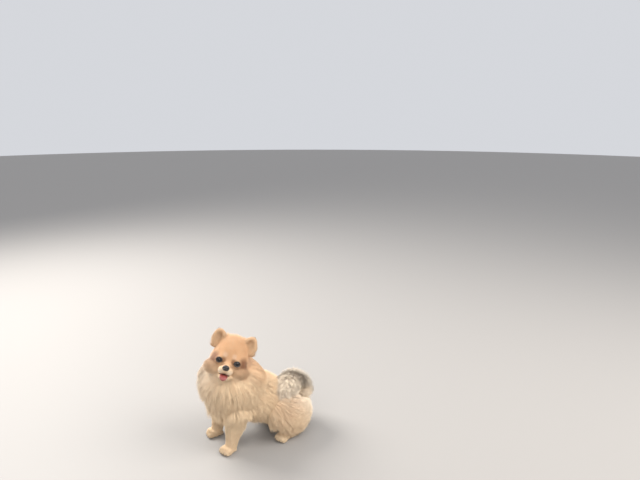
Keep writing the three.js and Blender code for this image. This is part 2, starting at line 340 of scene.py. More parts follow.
@dataclass(frozen=True)
class Form:
    """A rounded form along a row of stations, each an x, y, z, half a width and half a depth."""

    region: Region
    stations: tuple[Station, ...]
    depth: float = 0
    on_head: bool = False
    mirrored: bool = False
    sides: int = 32
    rings: int = 24

    def rows(self, side: int) -> Array:
        """The stations of one side, with the coat's depth taken off.

        Args:
            side: 1 for the left, -1 for the right.

        Returns:
            One row for each station.
        """
        rows = np.array(self.stations, float)
        rows[:, 0] *= side
        rows[:, 3:] = np.maximum(rows[:, 3:] - self.depth, 1.2)
        return rows

    def line(self, side: int) -> tuple[Array, Array, Array]:
        """The middle line in the dog's frame.

        Args:
            side: 1 for the left, -1 for the right.

        Returns:
            The points, the directions along them and the mean half width at each.
        """
        t = np.linspace(0, 1, LINE_POINTS)
        found = curve_points(self.rows(side), t)
        points, halves = found[:, :3], found[:, 3:].mean(axis=1)
        along = unit(np.gradient(points, axis=0))
        if self.on_head:
            matrix = np.array(HEAD.matrix())
            points = points @ matrix[:3, :3].T + matrix[:3, 3]
            along = HEAD.turned(along)
        return points, along, halves

    def mesh(self, bm: bmesh.types.BMesh, side: int) -> None:
        """Adds the closed form to a mesh.

        Args:
            bm: the mesh that it is added to.
            side: 1 for the left, -1 for the right.
        """
        made = bmesh.ops.create_uvsphere(
            bm, u_segments=self.sides, v_segments=self.rings, radius=1
        )["verts"]
        ball = np.array([v.co for v in made])
        t = 1 - np.arccos(np.clip(ball[:, 2], -1, 1)) / math.pi
        rows = self.rows(side)
        found = curve_points(rows, t)
        ahead = curve_points(rows, np.minimum(t + 0.01, 1))[:, :3]
        behind = curve_points(rows, np.maximum(t - 0.01, 0))[:, :3]
        along = unit(ahead - behind)
        across = unit(np.array([1.0, 0, 0]) - along * along[:, :1])
        up = unit(np.cross(across, along))
        turn = np.arctan2(ball[:, 1], ball[:, 0])
        ring = np.hypot(ball[:, 0], ball[:, 1]) > 1e-6
        spots = found[:, :3] + across * (np.cos(turn) * found[:, 3] * ring)[:, None]
        spots += up * (np.sin(turn) * found[:, 4] * ring)[:, None]
        past = np.where(ring, 0, np.where(t > 0.5, 0.35, -0.35)) * found[:, 3]
        spots += along * past[:, None]
        matrix = HEAD.matrix() if self.on_head else Matrix()
        for vert, spot in zip(made, spots):
            vert.co = matrix @ Vector(spot)


@dataclass(frozen=True)
class Ball:
    """An ellipsoid of flesh, as a form of its own."""

    region: Region
    at: tuple[float, float, float]
    half: tuple[float, float, float]
    depth: float = 0
    turn: tuple[float, float, float] = (0, 0, 0)
    on_head: bool = False
    mirrored: bool = False
    sides: int = 32

    def matrix(self, side: int) -> Matrix:
        """The placing of the ball.

        Args:
            side: 1 for the left, -1 for the right.

        Returns:
            The matrix from a unit ball to the dog's frame.
        """
        x, y, z = (math.radians(v) for v in self.turn)
        turn = Euler((x, y * side, z * side), "XYZ").to_matrix().to_4x4()
        place = Matrix.Translation((self.at[0] * side, self.at[1], self.at[2])) @ turn
        place = place @ Matrix.Diagonal([*(max(h - self.depth, 1) for h in self.half), 1])
        return HEAD.matrix() @ place if self.on_head else place

    def line(self, side: int) -> tuple[Array, Array, Array]:
        """The middle of the ball, as a line of one point.

        Args:
            side: 1 for the left, -1 for the right.

        Returns:
            The point, a direction and the mean half width.
        """
        middle = np.array(self.matrix(side).to_translation())[None, :]
        return middle, np.array([[0.0, 0, -1]]), np.array([np.mean(self.half) - self.depth])

    def mesh(self, bm: bmesh.types.BMesh, side: int) -> None:
        """Adds the closed ball to a mesh.

        Args:
            bm: the mesh that it is added to.
            side: 1 for the left, -1 for the right.
        """
        bmesh.ops.create_uvsphere(
            bm,
            u_segments=self.sides,
            v_segments=self.sides * 3 // 4,
            radius=1,
            matrix=self.matrix(side),
        )


Flesh = Form | Ball

HEAD_FORMS: tuple[Flesh, ...] = (
    Ball(Region.HEAD, (0, 5, 11), (36, 36, 34), depth=2, on_head=True, sides=48),
    Ball(Region.HEAD, (0, -9, 2), (32, 23, 26), depth=1.5, on_head=True, sides=48),
    Ball(Region.HEAD, (20, -5, -13), (22, 23, 21), depth=7.5, on_head=True, mirrored=True),
    Ball(Region.HEAD, (7.2, -37, -15), (8.6, 10.5, 8), depth=1, on_head=True, mirrored=True),
    Ball(Region.HEAD, (12, -22, 11.5), (9, 7, 4.5), turn=(0, 12, 20), on_head=True, mirrored=True),
    Ball(Region.HEAD, (17.2, -23.6, 2), (8.8, 8.4, 8.4), on_head=True, mirrored=True),
    Form(
        Region.HEAD,
        ((0, -46, -12, 7, 6), (0, -40, -12.5, 9.5, 8.5), (0, -31, -12, 13, 12), (0, -14, -8, 21, 18)),
        depth=1.2,
        on_head=True,
    ),
    Form(
        Region.HEAD,
        ((0, -38, -28, 5.5, 3.4), (0, -31, -29, 10, 5), (0, -18, -28, 14, 7), (0, -4, -24, 15, 9)),
        depth=0.8,
        on_head=True,
    ),
    Form(
        Region.EARS,
        (
            (25, 6, 24, 14, 8),
            (30, 4, 38, 14.5, 8),
            (33.5, 2, 49, 13, 7),
            (35.5, 1, 56, 9.5, 5.5),
            (36.5, 0, 60, 5, 3.6),
        ),
        depth=0.5,
        on_head=True,
        mirrored=True,
    ),
)
BODY_FORMS: tuple[Flesh, ...] = (
    Form(
        Region.RUFF,
        (
            (-16, -28, 212, 18, 24),
            (-14, -29, 198, 30, 38),
            (-8, -31, 176, 40, 47),
            (-2, -31, 152, 48, 50),
            (0, -30, 132, 48, 48),
            (0, -30, 120, 40, 40),
        ),
        depth=10,
    ),
    Form(
        Region.BODY,
        (
            (0, -68, 108, 22, 24),
            (0, -48, 108, 38, 42),
            (0, -15, 106, 44, 50),
            (0, 25, 92, 45, 50),
            (0, 62, 68, 42, 42),
            (0, 95, 50, 38, 34),
            (0, 116, 44, 20, 20),
        ),
        depth=9,
    ),
    Form(
        Region.FORELEGS,
        (
            (31, -32, 104, 10, 15),
            (34, -40, 84, 13.5, 17.5),
            (37, -48, 60, 13.5, 15.5),
            (37.5, -53, 34, 11.5, 12.5),
            (38, -56, 15, 11.5, 12),
            (38, -58, 4, 10, 11),
        ),
        depth=3,
        mirrored=True,
    ),
    Form(
        Region.BREECHES,
        (
            (54, 51, 45, 8, 14),
            (54, 61, 48, 18, 27),
            (51, 78, 49, 24, 36),
            (47, 96, 46, 22, 35),
            (40, 114, 38, 12, 20),
        ),
        depth=6,
        mirrored=True,
    ),
    Ball(Region.BODY, (33, 64, 66), (23, 32, 25), turn=(0, 25, 0), mirrored=True),
    Form(
        Region.HOCKS,
        (
            (58, 62, 8, 12, 9),
            (57, 78, 9, 12.5, 10),
            (54, 98, 11, 12, 11),
            (51, 110, 14, 9, 9),
        ),
        depth=2,
        mirrored=True,
    ),
    Form(
        Region.TAIL,
        (
            (0, 112, 62, 11, 11),
            (3, 122, 78, 12, 12),
            (8, 116, 93, 12, 12),
            (16, 101, 101, 11, 11),
            (23, 84, 102, 9, 9),
            (28, 68, 98, 5, 5),
        ),
        depth=4,
    ),
)


@dataclass(frozen=True)
class Paw:
    """A paw with its toes and claws.

    The short coat of the paw covers what is nearer to its middle than reach, lower than top and
    no further behind the middle than back.
    """

    at: tuple[float, float, float]
    turn: float
    half: tuple[float, float, float] = (12.6, 16, 9.4)
    toe: tuple[float, float, float] = (4.7, 7.6, 6.2)
    toes: int = 4
    step: float = 6.5
    ahead: float = 9.5
    reach: float = 23
    top: float = 15
    back: float = 12

    def toe_spots(self) -> list[tuple[float, float, float]]:
        """The middles of the toes.

        Returns:
            Each toe's place in the paw's own frame, with the floor at zero.
        """
        spots = []
        for i in range(self.toes):
            place = i - (self.toes - 1) / 2
            spots.append((place * self.step, -self.ahead + abs(place) * 2, 6.2))
        return spots

    def matrix(self, side: int) -> Matrix:
        """The placing of the paw.

        Args:
            side: 1 for the left, -1 for the right.

        Returns:
            The matrix from the paw's frame, with the floor at zero, to the dog's.
        """
        place = Matrix.Translation((self.at[0] * side, self.at[1], 0))
        return place @ Matrix.Rotation(math.radians(self.turn * side), 4, "Z")

    def mesh(self, bm: bmesh.types.BMesh, side: int) -> None:
        """Adds the paw's flesh to a mesh.

        Args:
            bm: the mesh that it is added to.
            side: 1 for the left, -1 for the right.
        """
        place = self.matrix(side)
        pieces = [((0, 0, self.at[2]), self.half)]
        pieces += [(spot, self.toe) for spot in self.toe_spots()]
        for spot, half in pieces:
            matrix = place @ Matrix.Translation(spot) @ Matrix.Diagonal([*half, 1])
            bmesh.ops.create_uvsphere(bm, u_segments=24, v_segments=16, radius=1, matrix=matrix)


PAWS = (Paw((38, -62, 7.4), 16), Paw((60, 58, 7.4), 18))


def new_object(name: str, bm: bmesh.types.BMesh) -> bpy.types.Object:
    """Makes an object of a mesh that is in the dog's frame in millimetres.

    Args:
        name: the object's name.
        bm: its mesh, which is freed.

    Returns:
        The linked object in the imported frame, in metres.
    """
    bmesh.ops.translate(bm, verts=bm.verts, vec=SHIFT)
    bmesh.ops.scale(bm, verts=bm.verts, vec=(MM, MM, MM))
    mesh = bpy.data.meshes.new(name)
    bm.to_mesh(mesh)
    bm.free()
    return linked(name, mesh)


def applied(target: bpy.types.Object) -> bpy.types.Object:
    """Applies an object's modifiers.

    Args:
        target: the object, whose mesh is replaced.

    Returns:
        The same object.
    """
    graph = bpy.context.evaluated_depsgraph_get()
    mesh = bpy.data.meshes.new_from_object(target.evaluated_get(graph))
    target.modifiers.clear()
    old = target.data
    target.data = mesh
    bpy.data.meshes.remove(old)
    return target


def cut(target: bpy.types.Object, cutter: bpy.types.Object) -> None:
    """Cuts one closed object out of another.

    Args:
        target: what is cut.
        cutter: what is taken away and then removed.
    """
    modifier = target.modifiers.new("cut", "BOOLEAN")
    modifier.operation = "DIFFERENCE"
    modifier.solver = "EXACT"
    modifier.object = cutter
    applied(target)
    bpy.data.objects.remove(cutter)


def shade_smooth(target: bpy.types.Object) -> None:
    """Shades every face smooth.

    Args:
        target: the object.
    """
    target.data.polygons.foreach_set("use_smooth", [True] * len(target.data.polygons))


def feed(tree: bpy.types.NodeTree, socket: bpy.types.NodeSocket, value: object) -> None:
    """Sends a number, a colour, a socket or a Value to an input.

    Args:
        tree: the material's node tree.
        socket: the input.
        value: what it gets.
    """
    source = value.source if isinstance(value, Value) else value
    if isinstance(source, bpy.types.NodeSocket):
        tree.links.new(source, socket)
    elif isinstance(source, tuple):
        socket.default_value = (*source, 1)
    else:
        socket.default_value = source


class Value:
    """A shader socket that reads as a number, or a plain number, in sums of shader maths."""

    def __init__(self, tree: bpy.types.NodeTree, source: "bpy.types.NodeSocket | float") -> None:
        """Wraps a socket.

        Args:
            tree: the material's node tree.
            source: an output socket, or a number.
        """
        self.tree = tree
        self.source = source

    def math(self, operation: str, *others: "Value | float") -> "Value":
        """One maths node of this value and others.

        Args:
            operation: the node's operation.
            others: the second and third inputs.

        Returns:
            Its result.
        """
        node = self.tree.nodes.new("ShaderNodeMath")
        node.operation = operation
        for socket, value in zip(node.inputs, (self, *others)):
            feed(self.tree, socket, value)
        return Value(self.tree, node.outputs[0])

    def __add__(self, other: "Value | float") -> "Value":
        """This value and another, added."""
        return self.math("ADD", other)

    def __radd__(self, other: float) -> "Value":
        """A number and this value, added."""
        return self.math("ADD", other)

    def __sub__(self, other: "Value | float") -> "Value":
        """This value less another."""
        return self.math("SUBTRACT", other)

    def __rsub__(self, other: float) -> "Value":
        """A number less this value."""
        return Value(self.tree, other).math("SUBTRACT", self)

    def __mul__(self, other: "Value | float") -> "Value":
        """This value times another."""
        return self.math("MULTIPLY", other)

    def __rmul__(self, other: float) -> "Value":
        """A number times this value."""
        return self.math("MULTIPLY", other)

    def __truediv__(self, other: "Value | float") -> "Value":
        """This value divided by another."""
        return self.math("DIVIDE", other)

    def __rtruediv__(self, other: float) -> "Value":
        """A number divided by this value."""
        return Value(self.tree, other).math("DIVIDE", self)

    def clamped(self) -> "Value":
        """This value kept from 0 to 1.

        Returns:
            The clamped value.
        """
        made = self.math("ADD", 0)
        made.source.node.use_clamp = True
        return made

    def step(self, low: float, high: float) -> "Value":
        """A smooth step of this value.

        Args:
            low: where it starts.
            high: where it ends.

        Returns:
            0 to 1.
        """
        t = ((self - low) / (high - low)).clamped()
        return t * t * (3 - 2 * t)


Colour = tuple[float, float, float]


class Shader:
    """A material that is built from expressions."""

    def __init__(self, name: str, roughness: float = 0.6, specular: float = 0.5) -> None:
        """Starts a material with one Principled shader.

        Args:
            name: the material's name.
            roughness: its roughness.
            specular: its specular level.
        """
        self.material = bpy.data.materials.new(name)
        self.material.use_nodes = True
        self.tree = self.material.node_tree
        self.shader = self.tree.nodes["Principled BSDF"]
        self.plain(Roughness=roughness, Specular_IOR_Level=specular)

    def plain(self, **values: object) -> None:
        """Sets inputs of the shader that are the same all over.

        Args:
            values: numbers or colours, by the input's name with underscores for spaces.
        """
        for name, value in values.items():
            feed(self.tree, self.shader.inputs[name.replace("_", " ")], value)

    def node(
        self,
        kind: str,
        settings: "dict[str, object] | None" = None,
        inputs: "dict[str | int, object] | None" = None,
    ) -> bpy.types.Node:
        """Adds a node.

        Args:
            kind: the node's type.
            settings: its settings, which are set before its inputs.
            inputs: numbers, colours, sockets or Value objects, by the input's name or number.

        Returns:
            The node.
        """
        made = self.tree.nodes.new(kind)
        for name, value in (settings or {}).items():
            setattr(made, name, value)
        for key, value in (inputs or {}).items():
            feed(self.tree, made.inputs[key], value)
        return made

    def stored(self, name: str) -> list[Value]:
        """Reads four numbers that are stored for each vertex.

        Args:
            name: the attribute's name.

        Returns:
            The four values.
        """
        read = self.node("ShaderNodeAttribute", {"attribute_name": name})
        parts = self.node("ShaderNodeSeparateColor", inputs={"Color": read.outputs["Color"]})
        sockets = (*(parts.outputs[i] for i in range(3)), read.outputs["Alpha"])
        return [self.value(socket) for socket in sockets]

    def value(self, source: "bpy.types.NodeSocket | float") -> Value:
        """Wraps a socket of this material.

        Args:
            source: the socket or number.

        Returns:
            The wrapped value.
        """
        return Value(self.tree, source)

    def place(self) -> bpy.types.NodeSocket:
        """The place on the object, in metres.

        Returns:
            The Object coordinates.
        """
        return self.node("ShaderNodeTexCoord").outputs["Object"]

    def noise(self, scale: float, detail: float = 3, roughness: float = 0.5) -> Value:
        """Noise that is fixed to the object.

        Args:
            scale: features to a metre.
            detail: how many octaves it has.
            roughness: how strong the finer ones are.

        Returns:
            The noise, about 0.5.
        """
        inputs = {"Vector": self.place(), "Scale": scale, "Detail": detail, "Roughness": roughness}
        return self.value(self.node("ShaderNodeTexNoise", inputs=inputs).outputs["Fac"])

    def mix(
        self, amount: Value, low: "Colour | bpy.types.NodeSocket", high: Colour
    ) -> bpy.types.NodeSocket:
        """Mixes two colours.

        Args:
            amount: 0 for the first, 1 for the second.
            low: the first colour, or a socket.
            high: the second colour.

        Returns:
            The mixed colour.
        """
        made = self.node("ShaderNodeMix", {"data_type": "RGBA"}, {0: amount, 6: low, 7: high})
        return made.outputs[2]

    def shaded(self, colour: bpy.types.NodeSocket, amount: Value) -> bpy.types.NodeSocket:
        """Makes a colour lighter or darker.

        Args:
            colour: the colour.
            amount: what it is multiplied by.

        Returns:
            The new colour.
        """
        grey = self.node("ShaderNodeCombineXYZ", inputs={"X": amount, "Y": amount, "Z": amount})
        settings = {"data_type": "RGBA", "blend_type": "MULTIPLY"}
        made = self.node("ShaderNodeMix", settings, {0: 1, 6: colour, 7: grey.outputs[0]})
        return made.outputs[2]

    def coloured(self, colour: bpy.types.NodeSocket) -> None:
        """Sets the base colour.

        Args:
            colour: the colour socket.
        """
        self.tree.links.new(colour, self.shader.inputs["Base Color"])

    def bumped(self, height: Value, strength: float, distance: float) -> None:
        """Raises the surface by a height.

        Args:
            height: the height, 0 to 1.
            strength: how strong the bump is.
            distance: its depth in metres.
        """
        inputs = {"Strength": strength, "Distance": distance, "Height": height}
        made = self.node("ShaderNodeBump", inputs=inputs)
        self.tree.links.new(made.outputs["Normal"], self.shader.inputs["Normal"])


@dataclass(frozen=True)
class CoatFinish:
    """The colours of the coat, which skin and tufts share through one set of markings. The pale colour
    serves both the pale markings and the painted light on the tail plume and the ruff's far edge.
    """

    cream: Colour = (0.89, 0.68, 0.45)
    apricot: Colour = (0.66, 0.36, 0.18)
    dark: Colour = (0.20, 0.075, 0.028)
    pale: Colour = (0.98, 0.90, 0.78)
    lip: Colour = (0.018, 0.010, 0.008)

    def make(self, name: str, is_skin: bool) -> bpy.types.Material:
        """Builds the material.

        Args:
            name: the material's name.
            is_skin: whether it is for the skin, which is darker and bumped.

        Returns:
            The material.
        """
        shader = Shader(name, roughness=0.62, specular=0.25)
        apricot, dark, pale, lip = shader.stored("markings")
        along, chance = shader.stored("strand")[:2]
        patch = shader.noise(70, 2) - 0.5
        warm = (apricot + patch * 0.25 + (chance - 0.5) * 0.22).clamped()
        colour = shader.mix(warm, self.cream, self.apricot)
        # The pale channel holds the pale markings and the painted light, both mixed in as the pale
        # colour.
        colour = shader.mix((pale * (0.75 + 0.25 * along)).clamped(), colour, self.pale)
        colour = shader.mix((dark * (1.15 - 0.3 * along)).clamped(), colour, self.dark)
        colour = shader.mix(lip, colour, self.lip)
        if is_skin:
            light = 0.8 + 0.2 * shader.noise(400, 4)
            shader.bumped(shader.noise(900, 4), 0.4, 0.0006)
        else:
            light = 0.94 + 0.08 * along + 0.12 * (chance - 0.5)
            shader.plain(Sheen_Weight=0.25, Sheen_Roughness=0.4)
        shader.coloured(shader.shaded(colour, light))
        return shader.material


@dataclass(frozen=True)
class Spot:
    """A soft round marking."""

    at: tuple[float, float, float]
    radius: float
    strength: float = 1
    both: bool = True

    def amount(self, points: Array) -> Array:
        """How strong the marking is at points.

        Args:
            points: rows of x, y, z in the frame that the spot is stated in.

        Returns:
            0 to the spot's strength.
        """
        total = np.zeros(len(points))
        for side in SIDES if self.both else (1,):
            gap = np.linalg.norm(points - np.array(self.at) * (side, 1, 1), axis=1)
            total = np.maximum(total, self.strength * smooth(self.radius * 1.4, self.radius * 0.4, gap))
        return total


@dataclass(frozen=True)
class Markings:
    """The markings of the whole dog, as sums of soft spots and bands, with painted light mixed into the
    pale channel on the tail plume and on the ruff's far edge.
    """

    dark: tuple[Spot, ...] = (
        Spot((29, -19, 3), 12, 0.9),
        Spot((30, -14, -10), 15, 0.42),
        Spot((24, -26, -4), 8, 0.55),
        Spot((11, -30, 3), 6, 0.7),
        Spot((14, -27, -19), 8, 0.45),
        Spot((8, -34, -7), 6, 0.45),
    )
    pale: tuple[Spot, ...] = (
        Spot((8, -42, -17), 6, 0.35),
        Spot((0, -36, -31), 8, 0.3, both=False),
        Spot((9, -28, 12), 5, 0.2),
    )
    warm: tuple[Spot, ...] = (
        Spot((44, 62, 92), 34, 0.36),
        Spot((0, 20, 130), 50, 0.16, both=False),
        Spot((50, 70, 40), 36, 0.16),
        Spot((38, -60, 20), 30, 0.1),
    )
    # Painted light: these spots whiten the tail plume as painted backlight and the ruff's far edge on
    # the dog's right as a painted lit rim, on the side of the key light.
    painted_light: tuple[Spot, ...] = (
        Spot((14, 110, 100), 66, 0.55, both=False),
        Spot((-50, -54, 150), 60, 0.5, both=False),
    )

    def read(self, points: Array) -> Array:
        """Reads the markings at points of the dog.

        Args:
            points: rows of x, y, z in the dog's frame.

        Returns:
            Rows of apricot, dark, pale and lip, each 0 to 1; the pale row also carries the painted
            light.
        """
        local = HEAD.local(points)
        gap = np.linalg.norm(local - (0, 2, 6), axis=1)
        head = smooth(66, 30, gap)
        high = smooth(-34, 20, local[:, 2] - 0.25 * local[:, 1])
        apricot = head * (0.22 + 0.62 * high)
        ear = smooth(18, 36, local[:, 2]) * smooth(10, 24, np.abs(local[:, 0]))
        folded = np.column_stack([np.abs(local[:, 0]), local[:, 1:]])
        inside = smooth(1.35, 0.6, np.linalg.norm((folded - (33, -7, 43)) / (10, 7, 15), axis=1))
        apricot = np.maximum(apricot, ear * 0.5)
        apricot = np.maximum(apricot, inside)
        apricot = np.maximum(apricot, sum(spot.amount(points) for spot in self.warm))
        dark = np.max([0.5 * inside, *(spot.amount(local) for spot in self.dark)], axis=0)
        pale = [spot.amount(local) for spot in self.pale]
        # The painted light joins the pale channel here.
        pale += [spot.amount(points) for spot in self.painted_light]
        lip = self.lip(local)
        return np.clip(np.stack([apricot, dark, np.max(pale, axis=0), lip], axis=1), 0, 1)

    def lip(self, local: Array) -> Array:
        """The dark skin of the mouth's lining and lip line.

        Args:
            local: rows of x, y, z in the head's frame.

        Returns:
            0 to 1.
        """
        line = np.abs(local[:, 2] + 23.6) < 2.2
        inside = (np.abs(local[:, 0]) < 11) & (local[:, 1] < -20) & (local[:, 1] > -46)
        return (line & inside).astype(float)


MARKINGS = Markings()


def attribute(mesh: bpy.types.Mesh, name: str, rows: Array) -> None:
    """Stores four numbers for each vertex.

    Args:
        mesh: the mesh.
        name: the attribute's name.
        rows: one row of four for each vertex.
    """
    made = mesh.attributes.new(name, "FLOAT_COLOR", "POINT")
    made.data.foreach_set("color", rows.astype(np.float32).ravel())


@dataclass
class Skin:
    """The one skin of the dog, under its coat.

    voxel is the size of its faces, sole the height of the flats under its paws, mouth the rows of
    the opening between its jaws, and cup the hollow of an ear.
    """

    voxel: float = 1.5
    sole: float = 0.6
    mouth: tuple[Station, ...] = (
        (0, -48, -23.8, 7.5, 1.6),
        (0, -38, -23.8, 11, 2.8),
        (0, -26, -22.4, 12.5, 2.4),
        (0, -17, -20.5, 8, 1),
    )
    cup: Ball = Ball(
        Region.EARS, (33.5, -6.8, 42), (8.6, 7, 15), turn=(0, 14, 0), on_head=True, mirrored=True
    )

    def build(self) -> bpy.types.Object:
        """Builds the skin.

        Returns:
            The smooth, closed skin.
        """
        bm = bmesh.new()
        for form in (*HEAD_FORMS, *BODY_FORMS):
            for side in SIDES if form.mirrored else (1,):
                form.mesh(bm, side)
        for paw in PAWS:
            for side in SIDES:
                paw.mesh(bm, side)
        skin = new_object("skin", bm)
        self.remesh(skin)
        cutter = bmesh.new()
        Form(Region.HEAD, self.mouth, on_head=True).mesh(cutter, 1)
        for side in SIDES:
            self.cup.mesh(cutter, side)
            place = EYE.matrix(side) @ Matrix.Translation((0, 0, -EYE.hollow_ahead))
            place = place @ Matrix.Diagonal([*EYE.opening, 1])
            bmesh.ops.create_uvsphere(cutter, u_segments=32, v_segments=24, radius=1, matrix=place)
        cut(skin, new_object("cutter", cutter))
        self.remesh(skin)
        self.flatten(skin)
        shade_smooth(skin)
        self.unwrap(skin)
        self.mark(skin)
        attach(skin, "root")
        flesh = ["head", "neck", "torso", "tail"]
        flesh += [f"{part}_{side_name(s)}" for part in ("ear", "foreleg", "hindleg") for s in SIDES]
        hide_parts(*flesh)
        skin.data.materials.append(CoatFinish().make("skin", True))
        log.info("skin with %d faces", len(skin.data.polygons))
        return skin

    def remesh(self, skin: bpy.types.Object) -> None:
        """Fuses the skin's forms into one even, soft surface.

        Args:
            skin: the skin.
        """
        fuse = skin.modifiers.new("fuse", "REMESH")
        fuse.mode = "VOXEL"
        fuse.voxel_size = self.voxel * MM
        soften = skin.modifiers.new("soften", "SMOOTH")
        soften.factor = 0.5
        soften.iterations = 3
        applied(skin)

    def flatten(self, skin: bpy.types.Object) -> None:
        """Presses the soles flat on the floor.

        Args:
            skin: the skin.
        """
        for vert in skin.data.vertices:
            vert.co.z = max(vert.co.z, self.sole * MM)

    def unwrap(self, skin: bpy.types.Object) -> None:
        """Unwraps the skin by its own shape.

        Args:
            skin: the skin.
        """
        skin.data.uv_layers.new(name="OFBake")
        bpy.context.view_layer.objects.active = skin
        skin.select_set(True)
        bpy.ops.object.mode_set(mode="EDIT")
        bpy.ops.mesh.select_all(action="SELECT")
        bpy.ops.uv.smart_project(angle_limit=math.radians(66), island_margin=0.004)
        bpy.ops.object.mode_set(mode="OBJECT")
        skin.select_set(False)

    def mark(self, skin: bpy.types.Object) -> None:
        """Stores the markings, painted light included, on the skin.

        Args:
            skin: the skin.
        """
        points = rows_of(skin.data.vertices, "co", 3) / MM - np.array(SHIFT)
        attribute(skin.data, "markings", MARKINGS.read(points))
        attribute(skin.data, "strand", np.tile((0.2, 0.5, 0, 1), (len(points), 1)))


@dataclass
class Roots:
    """Where tufts grow: their places on the skin and what is known of each."""

    at: Array
    normal: Array
    uv: Array
    along: Array
    share: Array
    lie: Array

    @property
    def local(self) -> Array:
        """The places in the head's frame."""
        return HEAD.local(self.at)

    def some(self, keep: Array) -> "Roots":
        """A part of the roots.

        Args:
            keep: which of them, as places or as true and false.

        Returns:
            The chosen roots.
        """
        names = ("at", "normal", "uv", "along", "share", "lie")
        return Roots(*(getattr(self, name)[keep] for name in names))


@dataclass
class Lie:
    """How the tufts at some roots grow, in millimetres.

    way is the direction that they lie in, stand how far their tips stand off the skin and droop
    how far the tips sink.
    """

    way: Array
    length: Array
    stand: Array
    width: Array
    droop: Array

    def rows(self, normals: Array) -> Array:
        """The lie as rows of numbers, with the way laid along the skin.

        Args:
            normals: the skin's normals at the roots.

        Returns:
            One row of seven for each root.
        """
        way = unit(self.way)
        way = unit(way - (way * normals).sum(axis=1, keepdims=True) * normals)
        return np.column_stack([way, self.length, self.stand, self.width, self.droop])


def ones(roots: Roots, value: float) -> Array:
    """The same value for each root.

    Args:
        roots: the roots.
        value: the value.

    Returns:
        One number for each root.
    """
    return np.full(len(roots.at), float(value))


def head_lie(roots: Roots) -> Lie:
    """The coat of the head: short on the muzzle, longer to the crown, cheeks and nape.

    Args:
        roots: the roots.

    Returns:
        How they grow.
    """
    p = roots.local
    from_nose = p - NOSE_TIP
    reach = np.linalg.norm(from_nose, axis=1)
    way = unit(from_nose) + np.array([0, 0.55, 0])
    way[:, 0] += np.sign(p[:, 0]) * 0.35 * smooth(4, 14, np.abs(p[:, 0]))
    way[:, 2] += 0.35 * smooth(0, 18, p[:, 2]) - 0.35 * smooth(-4, -22, p[:, 2])
    cheek = smooth(17, 34, np.abs(p[:, 0])) * smooth(14, -8, p[:, 2])
    crown = smooth(20, 40, p[:, 2])
    length = 2.4 + 0.13 * np.maximum(reach - 8, 0) + 13 * cheek + 12 * crown
    near_eye = np.full(len(p), 99.0)
    for side in SIDES:
        away = p - (17.2 * side, -29, 2)
        gap = np.linalg.norm(away, axis=1)
        near_eye = np.minimum(near_eye, gap)
        way += unit(away) * (1.6 * smooth(14, 7, gap))[:, None]
    length *= 0.4 + 0.6 * smooth(8, 18, near_eye)
    stand = length * (0.22 + 0.26 * smooth(30, 60, reach) + 0.12 * cheek + 0.2 * crown)
    return Lie(HEAD.turned(way), length, stand, 0.55 + 0.03 * length, length * 0.05)


def ear_lie(roots: Roots) -> Lie:
    """The coat of the ears: short, towards the tip, longer at the base.

    Args:
        roots: the roots.

    Returns:
        How they grow.
    """
    p = roots.local
    way = np.stack([np.sign(p[:, 0]) * 0.5, 0.1 + 0 * p[:, 0], 1 + 0 * p[:, 0]], axis=1)
    low = smooth(50, 28, p[:, 2])
    length = 7 + 9 * low
    inner = smooth(0.2, -0.6, HEAD.turned(np.array([[0.0, 1, 0]]))[0] @ roots.normal.T)
    length *= 1 - 0.35 * inner
    return Lie(HEAD.turned(way), length, length * 0.42, 0.65 + 0.2 * low, length * 0.03)


def ruff_lie(roots: Roots) -> Lie:
    """The ruff: away from the face, back and down, longest on the chest.

    Args:
        roots: the roots.

    Returns:
        How they grow.
    """
    face = HEAD.turned(np.array([[0.0, -1, 0]]))[0]
    out = roots.at - np.array(HEAD.at)
    flat = unit(out - (out @ face)[:, None] * face)
    way = flat - 0.4 * face
    way[:, 2] -= 0.3 + 1.0 * roots.share
    p = roots.local
    near = smooth(58, 36, np.linalg.norm(p - (0, -6, -6), axis=1))
    throat = near * smooth(5, -20, p[:, 1])
    top = smooth(4, 26, p[:, 2]) * smooth(34, 12, np.abs(p[:, 0]))
    behind = near * smooth(-10, 20, p[:, 1])
    low = smooth(106, 90, roots.at[:, 2])
    way -= 1.2 * top[:, None] * face
    length = 35 - 14 * throat - 8 * top - 12 * low
    stand = 27 - 11 * throat + 5 * near + 8 * behind - 14 * top - 17 * low
    return Lie(way, length, stand, ones(roots, 1.15), 5 - 4 * top)


def body_lie(roots: Roots) -> Lie:
    """The body coat: back along the spine, falling at the sides, with a fringe below.

    Args:
        roots: the roots.

    Returns:
        How they grow.
    """
    up = np.clip(roots.normal[:, 2], 0, 1)
    way = np.zeros_like(roots.at)
    way[:, 1] = 1
    way[:, 2] = -(1 - 0.75 * up) * (1.6 - 0.7 * roots.share)
    under = smooth(-0.55, -0.9, roots.normal[:, 2])
    stand = 21 - 12 * under - 6 * up
    return Lie(way, 32 - 14 * under, stand, ones(roots, 1.15), ones(roots, 6))


def breeches_lie(roots: Roots) -> Lie:
    """The breeches: down and back from the thighs.

    Args:
        roots: the roots.

    Returns:
        How they grow.
    """
    way = np.tile((0.0, 0.8, -0.65), (len(roots.at), 1))
    way[:, 0] = 0.25 * np.sign(roots.at[:, 0])
    front = smooth(0.25, 0, roots.share)
    over_paw = smooth(95, 72, roots.at[:, 1])
    length = np.clip((roots.at[:, 2] - 13 * over_paw) * 0.9, 7, 27 - 9 * front)
    return Lie(way, length, 16 - 9 * front, ones(roots, 1.1), length * 0.14)


